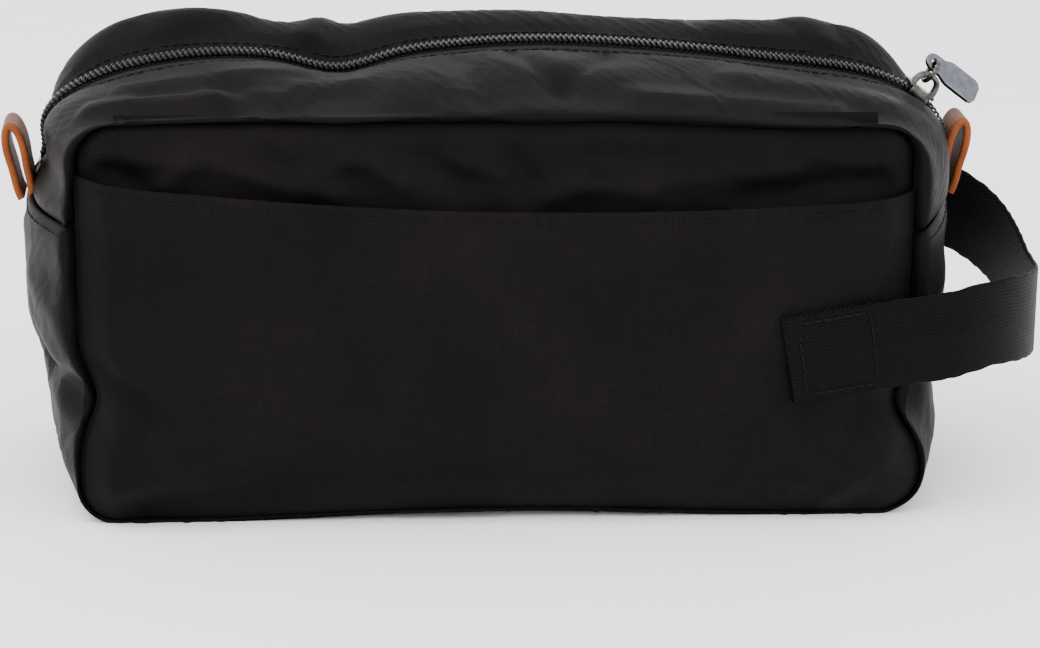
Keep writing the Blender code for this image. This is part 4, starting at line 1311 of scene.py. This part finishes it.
def bevelled_plate(name, outline, low, high, edge, material, hole=None):
    """A plate with this outline in X and Y and softened edges, and a round hole if given."""
    bm = bmesh.new()
    ring = [bm.verts.new((x, y, low)) for x, y in outline]
    face = bm.faces.new(ring)
    made = bmesh.ops.extrude_face_region(bm, geom=[face])
    lifted = [v for v in made["geom"] if isinstance(v, bmesh.types.BMVert)]
    bmesh.ops.translate(bm, verts=lifted, vec=(0, 0, high - low))
    bmesh.ops.recalc_face_normals(bm, faces=bm.faces)
    mesh = bpy.data.meshes.new(name)
    bm.to_mesh(mesh)
    bm.free()
    piece = add_mesh(name, mesh, [material])
    if hole:
        cut_round(piece, hole, low, high)
    bevel = piece.modifiers.new("edges", "BEVEL")
    bevel.width = edge
    bevel.segments = 3
    bevel.limit_method = "ANGLE"
    bevel.angle_limit = math.radians(32)
    apply_modifiers(piece)
    piece.data.shade_smooth()
    piece.data.set_sharp_from_angle(angle=math.radians(50))
    return piece


def cut_round(piece, hole, low, high):
    """Cut a round hole through a plate."""
    x, y, radius = hole
    bm = bmesh.new()
    bmesh.ops.create_cone(
        bm, cap_ends=True, segments=24, radius1=radius, radius2=radius, depth=4 * (high - low)
    )
    bm.transform(Matrix.Translation((x, y, (low + high) / 2)))
    mesh = bpy.data.meshes.new("cutter")
    bm.to_mesh(mesh)
    bm.free()
    cutter = bpy.data.objects.new("cutter", mesh)
    bpy.context.scene.collection.objects.link(cutter)
    cut = piece.modifiers.new("hole", "BOOLEAN")
    cut.operation = "DIFFERENCE"
    cut.solver = "EXACT"
    cut.object = cutter
    apply_modifiers(piece)
    bpy.data.objects.remove(cutter)
    bpy.data.meshes.remove(mesh)


def joined(name, pieces):
    """Several pieces as one object."""
    bm = bmesh.new()
    for piece in pieces:
        bm.from_mesh(piece.data)
    mesh = bpy.data.meshes.new(name)
    bm.to_mesh(mesh)
    bm.free()
    mesh.shade_smooth()
    mesh.set_sharp_from_angle(angle=math.radians(50))
    made = add_mesh(name, mesh, list(pieces[0].data.materials))
    for piece in pieces:
        old = piece.data
        bpy.data.objects.remove(piece)
        bpy.data.meshes.remove(old)
    return made


SLIDER_HALF = 0.00475
SLIDER_WIDE = 0.0047
SLIDER_ROOF = 0.0011
SLIDER_FLOOR = -0.0032
SLIDER_PLATE = 0.0011


def slider_outline(count=6):
    """The slider's outline from above: broad and round at its mouth, narrower at its tail."""
    points = []
    for k in range(count + 1):
        angle = math.pi * (k / count - 0.5)
        points.append((SLIDER_HALF * (0.45 + 0.55 * math.cos(angle)), SLIDER_WIDE * math.sin(angle)))
    for share in (-0.2, -1.0):
        points.append((SLIDER_HALF * share, SLIDER_WIDE * mix(0.97, 0.84, -share)))
    for share in (-1.0, -0.2):
        points.append((SLIDER_HALF * share, -SLIDER_WIDE * mix(0.97, 0.84, -share)))
    return points


def build_slider_body(place):
    """Two plates joined by a neck, with a flange down each side of the upper one."""
    outline = slider_outline()
    top = SLIDER_ROOF + SLIDER_PLATE
    parts = [
        bevelled_plate("upper", outline, SLIDER_ROOF, top, 0.00035, GUNMETAL),
        bevelled_plate("lower", outline, SLIDER_FLOOR - SLIDER_PLATE, SLIDER_FLOOR, 0.00030, GUNMETAL),
    ]
    still = Matrix.Identity(4)
    neck_low = (SLIDER_HALF - 0.0028, -0.0005, SLIDER_FLOOR - SLIDER_PLATE / 2)
    neck_high = (SLIDER_HALF - 0.0008, 0.0005, SLIDER_ROOF + SLIDER_PLATE / 2)
    parts.append(rounded_block("neck", neck_low, neck_high, 0.0002, still, GUNMETAL))
    for side in (-1, 1):
        flange = sorted((side * (SLIDER_WIDE - 0.0009), side * SLIDER_WIDE * 0.985))
        low = (-SLIDER_HALF * 0.80, flange[0], -0.0009)
        high = (SLIDER_HALF * 0.55, flange[1], SLIDER_ROOF + SLIDER_PLATE / 2)
        parts.append(rounded_block("flange", low, high, 0.00025, still, GUNMETAL))
    made = joined("slider_shell", parts)
    made.data.transform(place)
    ride_on(made, "slider", ["slider_body"])


def flat_bar(name, line, half_wide, half_thick, material, sides=12):
    """A bar of rounded flat section along a line in the plane Y = 0."""
    line = np.asarray(line, float)
    way = np.gradient(line, axis=0)
    way /= np.linalg.norm(way, axis=1, keepdims=True)
    up = np.cross(way, [0.0, 1.0, 0.0])
    angle = 2 * math.pi * np.arange(sides) / sides
    across = np.sign(np.cos(angle)) * np.abs(np.cos(angle)) ** 0.7
    out = np.sign(np.sin(angle)) * np.abs(np.sin(angle)) ** 0.8
    wide = np.interp(np.linspace(0, 1, len(line)), [0, 0.18, 0.5, 0.82, 1], half_wide)
    rings = line[:, None] + np.array([0, 1.0, 0])[None, None] * across[None, :, None] * wide[:, None, None]
    rings = rings + up[:, None] * out[None, :, None] * half_thick
    faces = grid_faces(len(line), sides, closed=True).tolist()
    last = (len(line) - 1) * sides
    faces += [list(range(sides)), [last + k for k in reversed(range(sides))]]
    return add_mesh(name, mesh_from(name, rings.reshape(-1, 3), faces), [material])


def build_bridge(place):
    """The arched bar over the slider, wide at its feet."""
    foot = SLIDER_ROOF + SLIDER_PLATE - 0.0002
    rise = BRIDGE_CROWN - foot
    line = []
    for k in range(25):
        angle = math.pi * (1 - k / 24)
        reach = math.copysign(abs(math.cos(angle)) ** 0.7, math.cos(angle)) * 0.0034
        line.append((reach, 0, foot + rise * math.sin(angle) ** 0.8))
    made = flat_bar("slider_bail", line, [0.0019, 0.0016, 0.0014, 0.0016, 0.0019], 0.00085, GUNMETAL)
    made.data.transform(place)
    ride_on(made, "slider", ["slider_bridge"])


PULL_TILT = math.radians(40)
LINK_RADIUS = 0.0034
LINK_WIRE = 0.00072
PULL_LENGTH = 0.019
PULL_WIDTH = 0.009
PULL_NECK = 0.0062
PULL_THICKNESS = 0.0014


def pull_frame(place):
    """The pull's own axes at its eye: along it, across it towards the back, and out of its face."""
    across = Vector((0, math.cos(PULL_TILT), math.sin(PULL_TILT)))
    along = Vector((1, 0, 0))
    made = Matrix((along, across, along.cross(across))).transposed().to_4x4()
    made = place.to_3x3().to_4x4() @ made
    made.translation = Vector(JOINTS["pull_swing"]["pos_m"])
    return made


def build_link_and_pull(place):
    """The wire ring round the bridge, and the flat pull with a raised bar across near its far end."""
    axes = pull_frame(place)
    ring = []
    for k in range(41):
        angle = 2 * math.pi * k / 40
        ring.append((0, LINK_RADIUS * (math.cos(angle) - 1), LINK_RADIUS * math.sin(angle)))
    link = tubes("pull_ring", [ring], LINK_WIRE, GUNMETAL, sides=10)
    link.data.transform(axes)
    ride_on(link, "pull_link", ["pull_link"])
    neck, half, end = PULL_NECK / 2, PULL_WIDTH / 2, PULL_LENGTH - PULL_NECK / 2
    outline = []
    for k in range(13):
        angle = math.pi / 2 + math.pi * k / 12
        outline.append((neck * math.cos(angle), neck * math.sin(angle)))
    lower = [(0.0026, -neck), (0.0042, -mix(neck, half, 0.7)), (0.0056, -half), (end - 0.0022, -half)]
    lower += [(end - 0.0008, -half + 0.0006), (end, -half + 0.0020)]
    outline += lower + [(x, -y) for x, y in reversed(lower)]
    thick = PULL_THICKNESS / 2
    plate = bevelled_plate("plate", outline, -thick, thick, 0.00032, SATIN_STEEL, hole=(0, 0, 0.0013))
    inset, stand = 0.0009, 0.00012
    low = (end - 0.0042, -half + inset, -thick - stand)
    high = (end - 0.0030, half - inset, thick + stand)
    bar = rounded_block("grip_line", low, high, 0.00010, Matrix.Identity(4), SATIN_STEEL)
    made = joined("pull_plate", [plate, bar])
    made.data.transform(axes)
    ride_on(made, "pull_tab", ["pull_tab"])


# ---------------------------------------------------------------- handle and leather loops


def strap_line():
    """The strap's middle line as reach and Y, from under the front fold, round the loop, to the back."""
    anchor_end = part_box("handle_anchor_front")[0].x
    fold = -(HANDLE_PIVOT.x - anchor_end) / math.cos(HANDLE_TILT) + 0.0020
    front_face_y = float(pocket_face(np.float64(0.100), np.float64(0.045)))
    back_face_y = float(back_face(np.float64(0.100), np.float64(0.045)))
    ends = []
    for face, out in ((front_face_y, -1), (back_face_y, 1)):
        under = face + out * (WEBBING / 2 + 0.0005)
        over = face + out * (WEBBING * 1.5 + 0.0007)
        turn = []
        for k in range(1, 8):
            angle = math.pi * k / 8
            turn.append((fold - 0.0009 * math.sin(angle), mix(under, over, (1 - math.cos(angle)) / 2)))
        run = [(r, under) for r in steps(fold + FOLD_UNDER, fold, 0.0016)]
        ends.append((run + turn + [(r, over) for r in steps(fold, -0.0040, 0.0016)], over))
    front, front_y = ends[0]
    back, back_y = ends[1]
    middle, half = (front_y + back_y) / 2, (back_y - front_y) / 2
    loop = []
    for angle in np.linspace(0.02, math.pi - 0.02, 90):
        reach = LOOP_REACH * math.sin(angle) ** (2 / LOOP_POWER)
        y = middle - half * math.copysign(abs(math.cos(angle)) ** (2 / LOOP_POWER), math.cos(angle))
        loop.append((reach, y))
    return front + loop + back[::-1]


def strap_centres(line):
    """The strap's middle line in space: along the tilt in front, low at the bend and rising behind."""
    reach, y = line[:, 0], line[:, 1]
    count = len(line)
    bend = int(np.argmax(reach))
    start = int(np.argmax(reach > 0))
    end = count - int(np.argmax(reach[::-1] > 0))
    share = np.clip((np.arange(count) - start) / (end - 1 - start), 0, 1)
    level = HANDLE_PIVOT.z + HANDLE_RISE + np.interp(share, *zip(*LOOP_HEIGHTS))
    slope = np.where(np.arange(count) < bend, math.tan(HANDLE_TILT), BACK_SLOPE)
    z = level + np.minimum(reach, 0) * slope * math.cos(HANDLE_TILT)
    even = 11
    padded = np.concatenate([z[:1].repeat(even), z, z[-1:].repeat(even)])
    soft = np.convolve(padded, np.ones(even) / even, "same")[even:-even]
    inside = smooth((np.minimum(np.arange(count), np.arange(count)[::-1]) - 40) / 10)
    z = mix(z, soft, inside)
    return np.stack([HANDLE_PIVOT.x + reach * math.cos(HANDLE_TILT), y, z], axis=1)


def build_handle():
    """The webbing handle in one piece, folded under and sewn at both ends."""
    line = np.array(strap_line())
    centres = strap_centres(line)
    flat = centres.copy()
    flat[:, 2] = 0
    turning = np.gradient(flat, axis=0)
    turning /= np.linalg.norm(turning, axis=1, keepdims=True)
    out = np.stack([turning[:, 1], -turning[:, 0], np.zeros(len(line))], axis=1)
    forward = np.gradient(centres, axis=0)
    forward /= np.linalg.norm(forward, axis=1, keepdims=True)
    up = np.cross(out, forward)
    up *= np.sign(up[:, 2:3])
    folded = np.abs(turning[:, 0]) < 0.9
    folded &= line[:, 0] < 0
    up[folded] = np.array([-math.sin(HANDLE_TILT), 0, math.cos(HANDLE_TILT)])
    around = np.concatenate([[0], np.cumsum(np.linalg.norm(np.diff(centres, axis=0), axis=1))])
    half, thick = STRAP_WIDTH / 2, WEBBING / 2
    section = [(-1, 0.0), (-0.985, 0.62), (-0.95, 0.95)]
    section += [(share, 1.0) for share in np.linspace(-0.9, 0.9, 17)]
    section += [(0.95, 0.95), (0.985, 0.62), (1, 0.0)]
    section += [(share, -height) for share, height in section[-2:0:-1]]
    points, uvs = [], []
    for centre, outward, rise, distance in zip(centres, out, up, around):
        rib = 0.014 * math.cos(distance / 0.00125 * 2 * math.pi)
        for share, height in section:
            wide = share * (1 + (rib if abs(share) > 0.94 else 0.0))
            points.append(centre + outward * height * thick + rise * half * wide)
            uvs.append((distance, half * (1 + share)))
    count = len(section)
    faces = grid_faces(len(line), count, closed=True)[:, ::-1].tolist()
    last = (len(line) - 1) * count
    faces += [list(reversed(range(count))), [last + k for k in range(count)]]
    made = add_mesh("handle_webbing", mesh_from("handle_webbing", points, faces, uvs), [WEB])
    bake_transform(made)
    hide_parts("handle_anchor_front", "handle_strap", "handle_anchor_back")
    build_handle_stitches(line, centres)


def build_handle_stitches(line, centres):
    """The box of stitches through each sewn end of the handle."""
    fold = line[:, 0].min() + 0.0009
    columns = (fold + 0.0030, fold + FOLD_UNDER - 0.0015)
    half = STRAP_WIDTH / 2 - 0.0022
    middle = len(line) // 2
    runs = (
        ("front", slice(0, middle), line[:, 1].min(), -1),
        ("back", slice(middle, None), line[:, 1].max(), 1),
    )
    for name, part, y, facing in runs:
        near = centres[part][np.argsort(np.abs(line[part, 1] - y))[:12]]
        slope = np.polyfit(near[:, 0], near[:, 2], 1)
        tilt = math.atan(slope[0])
        up = np.array([-math.sin(tilt), 0, math.cos(tilt)])
        corners = []
        for reach, share in ((0, -1), (0, 1), (1, 1), (1, -1), (0, -1)):
            x = HANDLE_PIVOT.x + columns[reach] * math.cos(HANDLE_TILT)
            corners.append(np.array([x, y + facing * WEBBING / 2, np.polyval(slope, x)]) + up * half * share)
        rows = []
        for a, b in zip(corners, corners[1:]):
            row = np.linspace(a, b, 24)
            outward = np.tile([0.0, float(facing), 0.0], (len(row), 1))
            rows.append(stitches("row", row, outward, pitch=0.0029, length=0.0022, radius=0.00034))
        ride_on(joined(f"handle_stitches_{name}", rows), "bag")


def drop_line(count):
    """The middle line of a leather drop: up one strand, over the top and down the other."""
    points = []
    for k in range(count + 1):
        share = k / count
        angle = mix(0.04, 0.96, share) * 2 * math.pi
        height = LOOP_LENGTH * (1 - math.cos(angle)) / 2
        belly = LOOP_BELLY * math.sin(angle) * math.sin(angle / 2)
        apart = (LEATHER / 2 + GAP) * (1 if share < 0.5 else -1)
        pinch = apart * (1 - float(smooth(height / LOOP_LENGTH * 2)))
        points.append(Vector((belly + pinch, height)))
    return points


def build_drop(side, body, node):
    """A strip of leather folded into a drop, standing on the side seam and leaning outward."""
    turn = Matrix.Rotation(-side * LOOP_LEAN, 2)
    joint = JOINTS[f"{body}_bend"]["pos_m"]
    base = Vector((joint[0], joint[2])) + Vector(LOOP_SHIFT[side])
    low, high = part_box(node)
    half_wide = (high.y - low.y) / 2
    line = drop_line(64)
    section = [(-1.0, 0.55), (-0.94, 0.88), (-0.84, 1.0)]
    section += [(share, 1.0) for share in np.linspace(-0.7, 0.7, 9)]
    section += [(0.84, 1.0), (0.94, 0.88), (1.0, 0.55)]
    section += [(share, -height) for share, height in reversed(section)]
    points, uvs = [], []
    distance = 0.0
    for k, place in enumerate(line):
        way = (line[min(k + 1, len(line) - 1)] - line[max(k - 1, 0)]).normalized()
        distance += (place - line[max(k - 1, 0)]).length
        for share, out in section:
            flat = base + turn @ (place + Vector((way.y, -way.x)) * out * LEATHER / 2)
            points.append((flat.x, share * half_wide, flat.y))
            uvs.append((distance, half_wide * (1 + share)))
    count = len(section)
    faces = grid_faces(len(line), count, closed=True)
    top_count = count // 2
    column = faces[:, 0] % count
    edges = (0, top_count - 2, top_count - 1, top_count, count - 2, count - 1)
    is_edge = np.isin(column, edges)
    tones = is_edge.astype(int).tolist()
    faces = faces.tolist()
    last = (len(line) - 1) * count
    faces += [list(range(count)), [last + k for k in reversed(range(count))]]
    mesh = mesh_from(f"{node}_strip", points, faces, uvs, tones + [1, 1])
    ride_on(add_mesh(f"{node}_strip", mesh, [HIDE, HIDE_EDGE]), body, [node])


# ---------------------------------------------------------------- studio


CAMERA_TURN = -4
CAMERA_RISE = 16
CAMERA_ROLL = 0.83
CAMERA_DISTANCE = 1.0538
CAMERA_LENS = 125.0
CAMERA_CENTRE = (0, 0, 0.0632)
CAMERA_AIM = (0.0066, -0.043, 0.0573)


def build_camera():
    """The camera in front of the bag, a little to its left and above it."""
    turn, rise = math.radians(CAMERA_TURN), math.radians(CAMERA_RISE)
    away = Vector((math.sin(turn) * math.cos(rise), -math.cos(turn) * math.cos(rise), math.sin(rise)))
    data = bpy.data.cameras.new("camera")
    data.lens = CAMERA_LENS
    data.sensor_width = 36
    made = bpy.data.objects.new("camera", data)
    made.location = Vector(CAMERA_CENTRE) + away * CAMERA_DISTANCE
    look = Vector(CAMERA_AIM) - made.location
    tilt = Matrix.Rotation(math.radians(CAMERA_ROLL), 3, "Z")
    made.rotation_euler = (look.to_track_quat("-Z", "Y").to_matrix() @ tilt).to_euler()
    bpy.context.scene.collection.objects.link(made)
    bpy.context.scene.camera = made


def area_light(name, place, aim, size, power, colour=(1, 1, 1)):
    """A soft square light aimed at a point."""
    data = bpy.data.lights.new(name, "AREA")
    data.shape = "SQUARE"
    data.size = size
    data.energy = power
    data.color = colour
    made = bpy.data.objects.new(name, data)
    made.location = place
    made.rotation_euler = (Vector(aim) - Vector(place)).to_track_quat("-Z", "Y").to_euler()
    bpy.context.scene.collection.objects.link(made)


def build_studio():
    """A pale floor, an even white surround and two soft boxes."""
    floor_size = 6.0
    bm = bmesh.new()
    bmesh.ops.create_grid(bm, x_segments=2, y_segments=2, size=floor_size / 2)
    mesh = bpy.data.meshes.new("floor")
    bm.to_mesh(mesh)
    bm.free()
    paper = Nodes("paper_floor")
    fibres = paper.noise(paper.place("Object"), 40, 4)
    paper.colour(paper.ramp(fibres, [(0.2, (0.93, 0.93, 0.93)), (0.8, (0.96, 0.96, 0.96))]))
    paper.set(Roughness=0.9, Specular_IOR_Level=0.1)
    add_mesh("floor", mesh, [paper.material])
    world = bpy.data.worlds.new("surround")
    world.use_nodes = True
    world.node_tree.nodes["Background"].inputs["Color"].default_value = (1, 1, 1, 1)
    world.node_tree.nodes["Background"].inputs["Strength"].default_value = 2.3
    bpy.context.scene.world = world
    aim = (0, 0, 0.06)
    area_light("key_softbox", (-0.55, -0.35, 1.15), aim, 0.9, 12.0)
    area_light("fill_softbox", (0.95, -0.70, 0.60), aim, 0.7, 5.0)


def build():
    """Make every piece of the bag and the studio round it."""
    build_camera()
    build_panels()
    build_pocket()
    build_panel_linings()
    build_top()
    build_seam_allowance()
    build_sides_and_base()
    build_gusset_linings()
    build_bindings()
    build_zip()
    build_stops()
    place = chain_frame(SLIDER_SHARE)
    build_slider_body(place)
    build_bridge(place)
    build_link_and_pull(place)
    build_handle()
    build_drop(-1, "left_loop", "leather_loop_left")
    build_drop(1, "right_loop", "leather_loop_right")
    build_studio()


build()
